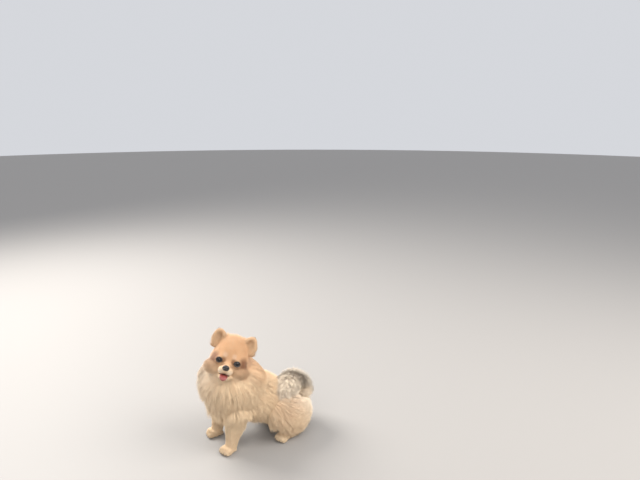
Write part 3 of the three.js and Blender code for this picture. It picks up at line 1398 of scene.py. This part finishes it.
def foreleg_lie(roots: Roots) -> Lie:
    """The forelegs: feathered behind, shorter in front and below.

    Args:
        roots: the roots.

    Returns:
        How they grow.
    """
    way = np.tile((0.0, 0.3, -1.0), (len(roots.at), 1))
    behind = smooth(-0.1, 0.7, roots.normal[:, 1])
    high = smooth(0.75, 0.2, roots.share)
    length = 8 + 14 * high * (0.4 + 0.6 * behind) + 5 * behind
    stand = length * (0.36 + 0.14 * high)
    return Lie(way, length, stand, 0.75 + 0.02 * length, length * 0.1)


def hock_lie(roots: Roots) -> Lie:
    """The hocks: short, forward and down over the foot.

    Args:
        roots: the roots.

    Returns:
        How they grow.
    """
    way = np.tile((0.0, -0.6, -0.8), (len(roots.at), 1))
    return Lie(way, ones(roots, 8), ones(roots, 3.2), ones(roots, 0.85), ones(roots, 1))


def paw_lie(roots: Roots) -> Lie:
    """The paws: the shortest coat of the legs, forward over the toes.

    Args:
        roots: the roots.

    Returns:
        How they grow.
    """
    way = np.tile((0.0, -1.0, -0.45), (len(roots.at), 1))
    return Lie(way, ones(roots, 4.4), ones(roots, 1.5), ones(roots, 0.7), ones(roots, 0.4))


def tail_lie(roots: Roots) -> Lie:
    """The plume: fanned out of the tail, towards its tip and the dog's left.

    Args:
        roots: the roots.

    Returns:
        How they grow.
    """
    end = smooth(0.6, 0.95, roots.share)
    way = roots.along * (1 - 0.9 * end)[:, None] + np.array([0.4, 0, -0.4])
    way[:, 2] -= end
    return Lie(way, ones(roots, 40), 22 - 8 * end, ones(roots, 2), ones(roots, 9))


SHORT = (0.45,)
LONG = (0.32, 0.7)


@dataclass(frozen=True)
class Growth:
    """How many tufts a region has and how they lie.

    A tip that is nearer than 2.5 times clump to the tip of its lock's middle tuft is drawn to it
    by the share lean. bends are the shares of a tuft's curve at which it has a ring.
    """

    tufts: int
    lie: Callable[[Roots], Lie]
    clump: float
    lean: float
    bends: tuple[float, ...] = SHORT


GROWTH: dict[Region, Growth] = {
    Region.HEAD: Growth(50000, head_lie, 3, 0.12),
    Region.EARS: Growth(9000, ear_lie, 2.5, 0.15),
    Region.RUFF: Growth(30000, ruff_lie, 7, 0.26, LONG),
    Region.BODY: Growth(20000, body_lie, 7, 0.26, LONG),
    Region.BREECHES: Growth(15000, breeches_lie, 6, 0.24, LONG),
    Region.FORELEGS: Growth(12000, foreleg_lie, 4, 0.2, LONG),
    Region.HOCKS: Growth(4000, hock_lie, 3, 0.15),
    Region.PAWS: Growth(8000, paw_lie, 2.5, 0.1),
    Region.TAIL: Growth(14500, tail_lie, 7, 0.2, LONG),
}


@dataclass
class Coat:
    """The coat of tufts that grows out of the skin.

    most is the most triangles of a piece. A tuft is flat times as thick as wide, its root is sunk
    in the skin, it bends where it has risen and led by shares of its stand and its length, and on
    the unwrap it reaches patch to each side of its root. No root grows below lowest_root and no
    bend or tip is set below lowest_tip. Tips behind rear are pulled in by rear_pull of what they
    reach past it. softness is how far the shading follows the skin, and lock_share how many locks
    there are for each tuft. The forelegs carry the ruff's coat above shoulder, and nothing grows
    nearer than nose_bare to nose_middle. Normals and lie are evened even times, and those of the
    broad regions even_normals and even_lie times more.
    """

    skin: bpy.types.Object
    draw: np.random.Generator = field(default_factory=lambda: np.random.default_rng(17))
    wave_seed: int = 5
    wave_count: int = 7
    most: int = 190000
    flat: float = 0.5
    sunk: float = 0.8
    risen: float = 0.75
    led: float = 0.34
    patch: float = 0.0015
    lowest_root: float = 1.6
    lowest_tip: float = 1.2
    rear: float = 158
    rear_pull: float = 0.6
    softness: float = 0.95
    lock_share: float = 0.03
    shoulder: float = 78
    nose_middle: tuple[float, float, float] = (0, -48.6, -10)
    nose_bare: float = 8
    broad: tuple[Region, ...] = (Region.RUFF, Region.BODY, Region.BREECHES)
    even: int = 8
    even_normals: int = 90
    even_lie: int = 50

    def build(self) -> list[bpy.types.Object]:
        """Builds every region's tufts.

        Returns:
            The coat's pieces.
        """
        material = CoatFinish().make("coat", False)
        faces = self.read_skin()
        made = []
        for region, growth in GROWTH.items():
            roots = self.roots(faces, region, growth)
            mesh = self.tufts(roots, growth)
            step = self.most // (6 * len(growth.bends))
            for part, start in enumerate(range(0, len(roots.at), step)):
                name = f"coat_{region.value}_{part + 1}"
                some = {key: rows[start : start + step] for key, rows in mesh.items()}
                made.append(self.piece(name, some, growth.bends, material))
        return made

    def read_skin(self) -> dict[str, Array]:
        """Reads the skin's triangles and how the coat lies on it.

        Returns:
            Places, normals and lie by vertex, and corners, areas, unwrap and region by triangle.
        """
        mesh = self.skin.data
        mesh.calc_loop_triangles()
        corner = rows_of(mesh.loop_triangles, "vertices", 3, int)
        loops = rows_of(mesh.loop_triangles, "loops", 3, int)
        spots = rows_of(mesh.vertices, "co", 3) / MM - np.array(SHIFT)
        uv = rows_of(mesh.uv_layers["OFBake"].data, "uv", 2)
        sides = spots[corner[:, 1:]] - spots[corner[:, :1]]
        region, along, share = self.nearest(spots)
        order = list(Region)
        plush = np.isin(region, [order.index(name) for name in self.broad])
        normals = self.softened(mesh, rows_of(mesh.vertices, "normal", 3), self.even)
        normals = unit(self.softened(mesh, normals, self.even_normals, plush))
        lie = np.zeros((len(spots), 7))
        for name, growth in GROWTH.items():
            mine = region == order.index(name)
            # No lie reads the unwrap or an earlier lie, so the places stand in for both.
            values = (spots, normals, spots, along, share, spots)
            lie[mine] = growth.lie(Roots(*(value[mine] for value in values))).rows(normals[mine])
        lie = self.softened(mesh, lie, self.even)
        lie = self.softened(mesh, lie, self.even_lie, plush)
        return {
            "corner": corner,
            "at": spots,
            "normal": normals,
            "along": along,
            "share": share,
            "lie": lie,
            "uv": uv[loops],
            "areas": np.linalg.norm(np.cross(sides[:, 0], sides[:, 1]), axis=1) / 2,
            "region": region[corner[:, 0]],
        }

    def softened(
        self, mesh: bpy.types.Mesh, values: Array, times: int, only: "Array | None" = None
    ) -> Array:
        """Evens out values over the skin, so that the coat crosses its creases smoothly.

        Args:
            mesh: the skin's mesh.
            values: one row for each vertex.
            times: how often each row is averaged with its neighbours'.
            only: which vertices are evened, or none for all of them.

        Returns:
            The evened values.
        """
        a, b = rows_of(mesh.edges, "vertices", 2, int).T
        count = len(values)
        degree = 1 + np.bincount(a, minlength=count) + np.bincount(b, minlength=count)
        values = values.copy()
        for _ in range(times):
            total = values.copy()
            for axis in range(values.shape[1]):
                total[:, axis] += np.bincount(a, values[b, axis], count)
                total[:, axis] += np.bincount(b, values[a, axis], count)
            total /= degree[:, None]
            values = total if only is None else np.where(only[:, None], total, values)
        return values

    def nearest(self, points: Array) -> tuple[Array, Array, Array]:
        """Finds which form each point belongs to.

        Args:
            points: rows of x, y, z in the dog's frame.

        Returns:
            Each point's region, the direction of its form and how far along it is.
        """
        best = np.full(len(points), 1e9)
        region = np.zeros(len(points), int)
        along = np.zeros((len(points), 3))
        share = np.zeros(len(points))
        order = list(Region)
        for form in (*HEAD_FORMS, *BODY_FORMS):
            for side in SIDES if form.mirrored else (1,):
                line, ways, halves = form.line(side)
                for i, (spot, way, half) in enumerate(zip(line, ways, halves)):
                    gap = np.linalg.norm(points - spot, axis=1) - half
                    closer = gap < best
                    best[closer] = gap[closer]
                    region[closer] = order.index(form.region)
                    along[closer] = way
                    share[closer] = i / max(len(line) - 1, 1)
        shoulder = (region == order.index(Region.FORELEGS)) & (points[:, 2] > self.shoulder)
        region[shoulder] = order.index(Region.RUFF)
        share[shoulder] = 1
        for paw in PAWS:
            for side in SIDES:
                away = points - np.array((paw.at[0] * side, paw.at[1], 0))
                close = (np.hypot(away[:, 0], away[:, 1]) < paw.reach) & (points[:, 2] < paw.top)
                front = away[:, 1] < paw.back
                region[close & front] = order.index(Region.PAWS)
        return region, along, share

    def roots(self, faces: dict[str, Array], region: Region, growth: Growth) -> Roots:
        """Draws the roots of one region, spread evenly by area.

        Args:
            faces: what read_skin found.
            region: the region.
            growth: how much grows there.

        Returns:
            The roots.
        """
        mine = np.flatnonzero(faces["region"] == list(Region).index(region))
        areas = faces["areas"][mine].copy()
        if region is Region.HEAD:
            # The tufts stand closer together towards the nose.
            middle = HEAD.local(faces["at"][faces["corner"][mine, 0]])
            areas *= 0.35 + 1.3 * smooth(70, 20, np.linalg.norm(middle - NOSE_TIP, axis=1))
        ends = np.cumsum(areas)
        picks = np.searchsorted(ends, self.draw.random(growth.tufts) * ends[-1])
        tri = mine[np.minimum(picks, len(mine) - 1)]
        a, b = self.draw.random((2, growth.tufts))
        over = a + b > 1
        a[over], b[over] = 1 - a[over], 1 - b[over]
        weights = np.stack([1 - a - b, a, b], axis=1)[:, :, None]
        corner = faces["corner"][tri]
        at, normal, lie = (
            (faces[name][corner] * weights).sum(axis=1) for name in ("at", "normal", "lie")
        )
        along, share = (faces[name][corner[:, 0]] for name in ("along", "share"))
        uv = (faces["uv"][tri] * weights).sum(axis=1)
        made = Roots(at, unit(normal), uv, along, share, lie)
        return made.some(self.bare(made, region))

    def bare(self, roots: Roots, region: Region) -> Array:
        """Leaves the eyes, nose, mouth and soles without tufts.

        Args:
            roots: the roots.
            region: their region.

        Returns:
            True for each root that may grow.
        """
        keep = roots.at[:, 2] > self.lowest_root
        if region is not Region.HEAD:
            return keep
        p = roots.local
        for side in SIDES:
            eye = EYE.local(side, roots.at)
            across, up = eye[:, 0] / EYE.bare[0], eye[:, 1] / EYE.bare[1]
            keep &= (np.hypot(across, up) > 1) | (eye[:, 2] > 0)
        keep &= np.linalg.norm((p - self.nose_middle) * (1, 1, 1.2), axis=1) > self.nose_bare
        keep &= MARKINGS.lip(p) < 0.5
        return keep

    def clumped(self, roots: Roots, tips: Array, growth: Growth) -> Array:
        """Draws the tips of neighbouring tufts together into locks.

        Args:
            roots: the roots.
            tips: where the tips would be.
            growth: the region's growth.

        Returns:
            Where the tips are.
        """
        count = max(int(len(roots.at) * self.lock_share), 8)
        centres = self.draw.choice(len(roots.at), count, replace=False)
        tree = KDTree(count)
        for i, place in enumerate(centres):
            tree.insert(roots.at[place], i)
        tree.balance()
        found = np.array([tree.find(spot)[1] for spot in roots.at])
        chosen = centres[found]
        offset = tips[chosen] - tips
        near = np.linalg.norm(offset, axis=1) < growth.clump * 2.5
        return tips + offset * (growth.lean * near)[:, None]

    def tufts(self, roots: Roots, growth: Growth) -> dict[str, Array]:
        """Shapes the tufts of one region.

        Args:
            roots: the roots.
            growth: how they grow.

        Returns:
            Their vertices, markings, strand values and unwrap, tuft by tuft.
        """
        count = len(roots.at)
        lie = Lie(roots.lie[:, :3], *roots.lie[:, 3:].T)
        loose = self.draw.normal(size=(count, 3))
        way = unit(lie.way) + 0.1 * loose + 0.09 * self.waves(roots.at)
        way = unit(way - (way * roots.normal).sum(axis=1, keepdims=True) * roots.normal)
        vary = self.draw.uniform(0.78, 1.06, count)
        length, stand = (lie.length * vary)[:, None], (lie.stand * vary)[:, None]
        start = roots.at - roots.normal * self.sunk
        bend = roots.at + roots.normal * stand * self.risen + way * length * self.led
        tips = roots.at + roots.normal * stand + way * length
        tips[:, 2] -= lie.droop * self.draw.uniform(0.6, 1.3, count)
        tips = self.clumped(roots, tips, growth)
        past = np.maximum(tips[:, 1] - self.rear, 0)
        tips[:, 1] -= past * self.rear_pull
        for spots in (bend, tips):
            least = self.lowest_tip + self.draw.uniform(0, 1.5, count)
            spots[:, 2] = np.maximum(spots[:, 2], least)
        across = unit(np.cross(way, roots.normal))
        points, normals, steps = [start], [roots.normal], [0.0]
        for t in growth.bends:
            middle = (1 - t) ** 2 * start + 2 * t * (1 - t) * bend + t**2 * tips
            heading = unit((1 - t) * (bend - start) + t * (tips - bend))
            up = unit(np.cross(across, heading))
            size = (lie.width * (1.15 - 0.5 * t) / 2)[:, None]
            for angle in (90, 210, 330):
                a = math.radians(angle)
                x, y = math.cos(a), math.sin(a)
                out = x * across + y * up
                points.append(middle + size * (x * across + self.flat * y * up))
                normals.append(unit(self.softness * roots.normal + out))
                steps.append(t)
        points = np.stack([*points, tips], axis=1)
        normals = np.stack([*normals, roots.normal], axis=1)
        chance = self.draw.random(count)
        strand = np.zeros((count, points.shape[1], 4))
        strand[:, :, 0], strand[:, :, 1], strand[:, :, 3] = (*steps, 1.0), chance[:, None], 1
        # Each tuft takes the markings at its root, painted light included.
        marks = np.repeat(MARKINGS.read(roots.at)[:, None, :], points.shape[1], axis=1)
        return {
            "points": points,
            "normals": normals,
            "marks": marks,
            "strand": strand,
            "uv": roots.uv,
        }

    def corner_normals(self, normals: Array, faces: list[tuple[int, ...]]) -> Array:
        """Gives each face of each tuft its normals, with the pointed ends facing as the face does.

        Args:
            normals: for each tuft, one row for each of its vertices.
            faces: the faces of one tuft.

        Returns:
            One row for each corner of each face.
        """
        last = normals.shape[1] - 1
        rows = []
        for face in faces:
            side = unit(sum(normals[:, v] for v in face if v not in (0, last)))
            rows += [side if v in (0, last) else normals[:, v] for v in face]
        return np.stack(rows, axis=1).reshape(-1, 3)

    def waves(self, points: Array) -> Array:
        """A slow, even disorder in the lie of the coat.

        Args:
            points: rows of x, y, z in the dog's frame.

        Returns:
            Rows of directions of about unit size.
        """
        total = np.zeros_like(points)
        waves = np.random.default_rng(self.wave_seed)
        for _ in range(self.wave_count):
            pull, push = waves.normal(size=3), waves.normal(size=3)
            across = unit(push[None])[0] / waves.uniform(3, 8)
            wave = np.sin(points @ across + waves.uniform(0, 6))
            total += wave[:, None] * pull * 0.45
        return total

    def piece(
        self,
        name: str,
        mesh: dict[str, Array],
        bends: tuple[float, ...],
        material: bpy.types.Material,
    ) -> bpy.types.Object:
        """Makes one coat piece of some of a region's tufts.

        Args:
            name: its name.
            mesh: what tufts() made, for the tufts of this piece.
            bends: where along a tuft its rings of three are.
            material: its material.

        Returns:
            The piece.
        """
        points = mesh["points"]
        count, each = points.shape[:2]
        last = each - 4
        faces = [(0, 1 + k, 1 + (k + 1) % 3) for k in range(3)]
        for ring in range(1, last, 3):
            for k in range(3):
                a, b = ring + k, ring + (k + 1) % 3
                faces.append((a, a + 3, b + 3, b))
        faces += [(last + k, each - 1, last + (k + 1) % 3) for k in range(3)]
        order = np.array([v for face in faces for v in face])
        loops = (np.arange(count)[:, None] * each + order).ravel()
        totals = np.tile([len(face) for face in faces], count)
        starts = np.concatenate([[0], np.cumsum(totals)[:-1]])
        made = bpy.data.meshes.new(name)
        made.vertices.add(count * each)
        shifted = (points.reshape(-1, 3) + np.array(SHIFT)) * MM
        made.vertices.foreach_set("co", shifted.astype(np.float32).ravel())
        made.loops.add(len(loops))
        made.loops.foreach_set("vertex_index", loops.astype(np.int32))
        made.polygons.add(len(totals))
        made.polygons.foreach_set("loop_start", starts.astype(np.int32))
        made.polygons.foreach_set("use_smooth", np.ones(len(totals), bool))
        made.update(calc_edges=True)
        made.normals_split_custom_set(self.corner_normals(mesh["normals"], faces))
        attribute(made, "markings", mesh["marks"].reshape(-1, 4))
        attribute(made, "strand", mesh["strand"].reshape(-1, 4))
        places = [(-1, 0)]
        places += [(2 * t - 1, k) for t in bends for k in (-1, 0, 1)]
        places.append((1, 0))
        patch = mesh["uv"][:, None, :] + np.array(places) * self.patch
        uv = patch.reshape(-1, 2)[loops]
        made.uv_layers.new(name="OFBake").data.foreach_set("uv", uv.astype(np.float32).ravel())
        made.materials.append(material)
        piece = linked(name, made)
        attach(piece, "root")
        log.info("%s with %d tufts", name, count)
        return piece


@dataclass(frozen=True)
class EyeFinish:
    """A dark, wet eye."""

    pupil: Colour = (0.002, 0.0015, 0.001)
    iris: Colour = (0.018, 0.007, 0.003)
    edge: Colour = (0.006, 0.003, 0.002)

    def make(self) -> bpy.types.Material:
        """Builds the material.

        Returns:
            The material.
        """
        shader = Shader("eye", roughness=0.2, specular=0.2)
        angle = shader.stored("strand")[0]
        grain = 0.75 + 0.5 * shader.noise(1500, 3)
        colour = shader.mix(angle.step(0.12, 0.14), self.pupil, self.iris)
        colour = shader.mix(angle.step(0.21, 0.26), colour, self.edge)
        shader.coloured(shader.shaded(colour, grain))
        shader.plain(Coat_Weight=0.6, Coat_Roughness=0.04)
        return shader.material


@dataclass(frozen=True)
class LeatherFinish:
    """Bare, moist skin, such as the nose, the rims of the lids or the claws."""

    name: str
    colour: Colour
    high: Colour
    roughness: float = 0.4
    grain: float = 1400
    depth: float = 0.0003

    def make(self) -> bpy.types.Material:
        """Builds the material.

        Returns:
            The material.
        """
        shader = Shader(self.name, roughness=self.roughness)
        grain = shader.noise(self.grain, 3)
        shader.coloured(shader.mix(grain.step(0.35, 0.7), self.colour, self.high))
        shader.bumped(grain, 0.6, self.depth)
        shader.plain(Coat_Weight=0.35, Coat_Roughness=0.25)
        return shader.material


NOSE_FINISH = LeatherFinish("nose", (0.010, 0.008, 0.007), (0.026, 0.020, 0.018), 0.38)
LID_FINISH = LeatherFinish("lids", (0.012, 0.008, 0.006), (0.030, 0.018, 0.013), 0.45)
TONGUE_FINISH = LeatherFinish("tongue", (0.27, 0.052, 0.046), (0.40, 0.10, 0.09), 0.42, 2600)
CLAW_FINISH = LeatherFinish("claws", (0.10, 0.07, 0.05), (0.17, 0.12, 0.09), 0.35, 500, 0.0001)


def dress(
    piece: bpy.types.Object, finish: "EyeFinish | LeatherFinish", slot: Slot, *nodes: str
) -> bpy.types.Object:
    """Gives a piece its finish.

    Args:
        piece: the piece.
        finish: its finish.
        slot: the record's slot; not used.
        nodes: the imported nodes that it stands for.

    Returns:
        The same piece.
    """
    shade_smooth(piece)
    piece.data.materials.append(finish.make())
    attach(piece, "root")
    if nodes:
        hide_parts(*nodes)
    log.info("%s with %d faces", piece.name, len(piece.data.polygons))
    return piece


@dataclass
class FaceParts:
    """The eyes with their lids, the nose and the tongue.

    wide and high are how far the lids open, in degrees from the middle of the eye, and
    lid_profile is a lid's section, in radians past the opening and millimetres off the eye. A row
    of nostrils is a depth, a place across and up, a width and a height, for each nostril and its
    slit. groove is the depth and width of the groove between them.
    """

    wide: float = 49
    high: float = 31
    steps: int = 40
    lid_profile: tuple[tuple[float, float], ...] = (
        (0, 0.02),
        (0.02, 0.6),
        (0.08, 1.2),
        (0.19, 1.3),
        (0.34, 0.3),
        (0.2, -0.6),
    )
    nostrils: tuple[Station, ...] = ((2.4, 3.3, 0.2, 1.35, 1.05), (1.3, 5.2, -1.0, 1.3, 0.6))
    groove: tuple[float, float] = (0.8, 0.42)
    nose_at: tuple[float, float, float] = (0, -49.4, -9.6)
    nose_half: tuple[float, float, float] = (7.2, 5.4, 5.8)
    tongue_rows: tuple[Station, ...] = (
        (0, -46.6, -34, 3.6, 1.2),
        (0, -46.2, -32.6, 6, 1.5),
        (0, -45.2, -30.4, 7.3, 1.7),
        (0, -43, -28, 7.8, 1.8),
        (0, -33, -25, 8, 2),
        (0, -20, -23.2, 5.5, 1.6),
    )

    def build(self) -> None:
        """Builds every piece of the face."""
        for side in SIDES:
            self.eye(side)
            self.lids(side)
        self.nose()
        self.tongue()

    def eye(self, side: int) -> None:
        """Builds one eyeball.

        Args:
            side: 1 for the left eye, -1 for the right.
        """
        bm = bmesh.new()
        bmesh.ops.create_uvsphere(bm, u_segments=48, v_segments=32, radius=EYE.radius)
        angles = [math.acos(max(-1, min(1, -v.co.z / EYE.radius))) / math.pi for v in bm.verts]
        bmesh.ops.transform(bm, matrix=EYE.matrix(side), verts=bm.verts)
        piece = new_object(f"eyeball_{side_name(side)}", bm)
        rows = np.zeros((len(angles), 4))
        rows[:, 0] = angles
        attribute(piece.data, "strand", rows)
        dress(piece, EyeFinish(), Slot.EYE, f"eye_{side_name(side)}")

    def lids(self, side: int) -> None:
        """Builds the upper and lower lid of one eye as one almond ring.

        Args:
            side: 1 for the left eye, -1 for the right.
        """
        bm = bmesh.new()
        rings = []
        for i in range(self.steps):
            turn = i / self.steps * math.tau
            across, rise = math.cos(turn), math.sin(turn)
            opening = 1 / math.hypot(across / self.wide, rise / self.high)
            ring = []
            for more, out in self.lid_profile:
                angle = math.radians(opening) + more
                reach = (EYE.radius + out) * math.sin(angle)
                height = -(EYE.radius + out) * math.cos(angle)
                ring.append(bm.verts.new((across * reach, rise * reach, height)))
            rings.append(ring)
        for ring, following in zip(rings, rings[1:] + rings[:1]):
            for k in range(len(ring)):
                j = (k + 1) % len(ring)
                bm.faces.new((ring[k], ring[j], following[j], following[k]))
        bmesh.ops.recalc_face_normals(bm, faces=bm.faces)
        bmesh.ops.subdivide_edges(bm, edges=bm.edges, cuts=1, use_grid_fill=True, smooth=0.6)
        bmesh.ops.transform(bm, matrix=EYE.matrix(side), verts=bm.verts)
        dress(new_object(f"lids_{side_name(side)}", bm), LID_FINISH, Slot.NOSE)

    def nose(self) -> None:
        """Builds the nose with its nostrils, their slits and the groove between them."""
        bm = bmesh.new()
        made = bmesh.ops.create_uvsphere(bm, u_segments=96, v_segments=72, radius=1)["verts"]
        place = HEAD.matrix() @ Matrix.Translation(self.nose_at)
        for vert in made:
            spot = Vector([v * half for v, half in zip(vert.co, self.nose_half)])
            if spot.y < 0:
                x, z = abs(spot.x), spot.z
                for depth, at, up, wide, high in self.nostrils:
                    spot.y += depth * math.exp(-(((x - at) / wide) ** 2) - ((z - up) / high) ** 2)
                depth, wide = self.groove
                spot.y += depth * math.exp(-((x / wide) ** 2)) * (1 if z < 1 else 0.3)
            vert.co = place @ spot
        dress(new_object("nose_leather", bm), NOSE_FINISH, Slot.NOSE, "nose")

    def tongue(self) -> None:
        """Builds the tongue with its middle groove."""
        bm = bmesh.new()
        Form(Region.HEAD, self.tongue_rows, sides=32, rings=28).mesh(bm, 1)
        for vert in bm.verts:
            vert.co.z -= 0.9 * math.exp(-((vert.co.x / 1.3) ** 2))
        bmesh.ops.transform(bm, matrix=HEAD.matrix(), verts=bm.verts)
        dress(new_object("tongue_flesh", bm), TONGUE_FINISH, Slot.TONGUE, "tongue")


@dataclass
class Claws:
    """The claws at the ends of the toes."""

    radius: float = 1.4
    length: float = 5.6
    ahead: float = 7.2

    def build(self) -> bpy.types.Object:
        """Builds every claw as one piece.

        Returns:
            The claws.
        """
        bm = bmesh.new()
        for paw in PAWS:
            for side in SIDES:
                for spot in paw.toe_spots():
                    self.claw(bm, paw.matrix(side) @ Matrix.Translation(spot))
        bmesh.ops.recalc_face_normals(bm, faces=bm.faces)
        return dress(new_object("claws", bm), CLAW_FINISH, Slot.NOSE)

    def claw(self, bm: bmesh.types.BMesh, place: Matrix) -> None:
        """Adds one curved claw.

        Args:
            bm: the mesh that it is added to.
            place: the placing of its toe.
        """
        made = bmesh.ops.create_uvsphere(bm, u_segments=12, v_segments=10, radius=1)["verts"]
        for vert in made:
            t = vert.co.z / 2 + 0.5
            size = self.radius * (1 - t) ** 0.35
            forward = 2 - self.ahead - self.length * t * 0.9
            rise = vert.co.y * size - 1.8 * t * t - 1.2
            vert.co = place @ Vector((vert.co.x * size, forward, rise))
            vert.co.z = max(vert.co.z, 0.4)


@dataclass
class Lamp:
    """A soft area light, in metres to the right of the dog, nearer than it and above the floor."""

    name: str
    right: float
    near: float
    height: float
    size: float
    power: float
    colour: Colour = (1, 1, 1)


@dataclass
class Studio:
    """The pale floor, the lights and the camera at the photograph's angle."""

    camera_at: tuple[float, float, float] = (1000.86, -457.84, 700)
    forward: tuple[float, float] = (-0.839, 0.545)
    pitch: float = 13.3
    focal_pixels: float = 550
    image_width: int = 640
    sensor_width: float = 36
    clip_start: float = 0.05
    aim_height: float = 0.13
    floor_radius: float = 9
    floor_colour: Colour = (0.36, 0.345, 0.33)
    sky: Colour = (0.93, 0.95, 1.0)
    sky_power: float = 0.72
    lamps: tuple[Lamp, ...] = (
        Lamp("key", -1.3, -1.0, 1.6, 1.3, 70, (1.0, 0.97, 0.93)),
        Lamp("front", -0.5, 1.5, 1.5, 1.4, 12, (1.0, 0.95, 0.88)),
        Lamp("side", 1.5, 0.3, 1.5, 1.5, 36, (1.0, 0.96, 0.91)),
    )

    def build(self) -> None:
        """Builds the stage, lights and camera."""
        self.floor()
        for lamp in self.lamps:
            self.light(lamp)
        world = bpy.data.worlds.new("studio")
        bpy.context.scene.world = world
        world.use_nodes = True
        background = world.node_tree.nodes["Background"]
        background.inputs["Color"].default_value = (*self.sky, 1)
        background.inputs["Strength"].default_value = self.sky_power
        bpy.context.scene.view_settings.view_transform = "Standard"
        self.camera()

    def floor(self) -> None:
        """Lays the floor, a plain disc."""
        bm = bmesh.new()
        bmesh.ops.create_circle(bm, cap_ends=True, segments=96, radius=self.floor_radius)
        mesh = bpy.data.meshes.new("floor")
        bm.to_mesh(mesh)
        bm.free()
        floor = linked("floor", mesh)
        shader = Shader("floor", roughness=0.55, specular=0.3)
        shader.plain(Base_Color=self.floor_colour)
        mesh.materials.append(shader.material)

    def light(self, lamp: Lamp) -> None:
        """Hangs one area light, aimed at the dog.

        Args:
            lamp: the light.
        """
        data = bpy.data.lights.new(lamp.name, "AREA")
        data.size = lamp.size
        data.energy = lamp.power
        data.color = lamp.colour
        made = linked(lamp.name, data)
        ahead = Vector((*self.forward, 0))
        right = Vector((self.forward[1], -self.forward[0], 0))
        made.location = right * lamp.right - ahead * lamp.near + Vector((0, 0, lamp.height))
        aimed(made, Vector((0, 0, self.aim_height)) - made.location)

    def camera(self) -> None:
        """Sets the camera where the photograph was taken from."""
        data = bpy.data.cameras.new("camera")
        data.sensor_width = self.sensor_width
        data.lens = self.sensor_width * self.focal_pixels / self.image_width
        data.clip_start = self.clip_start
        made = linked("camera", data)
        made.location = (Vector(self.camera_at) + SHIFT) * MM
        down = math.radians(self.pitch)
        x, y = self.forward
        aimed(made, Vector((x * math.cos(down), y * math.cos(down), -math.sin(down))))
        bpy.context.scene.camera = made


def main() -> None:
    """Builds the dog, its stage, lights and camera."""
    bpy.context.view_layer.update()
    skin = Skin().build()
    Coat(skin).build()
    FaceParts().build()
    Claws().build()
    Studio().build()


if __name__ == "__main__":
    main()
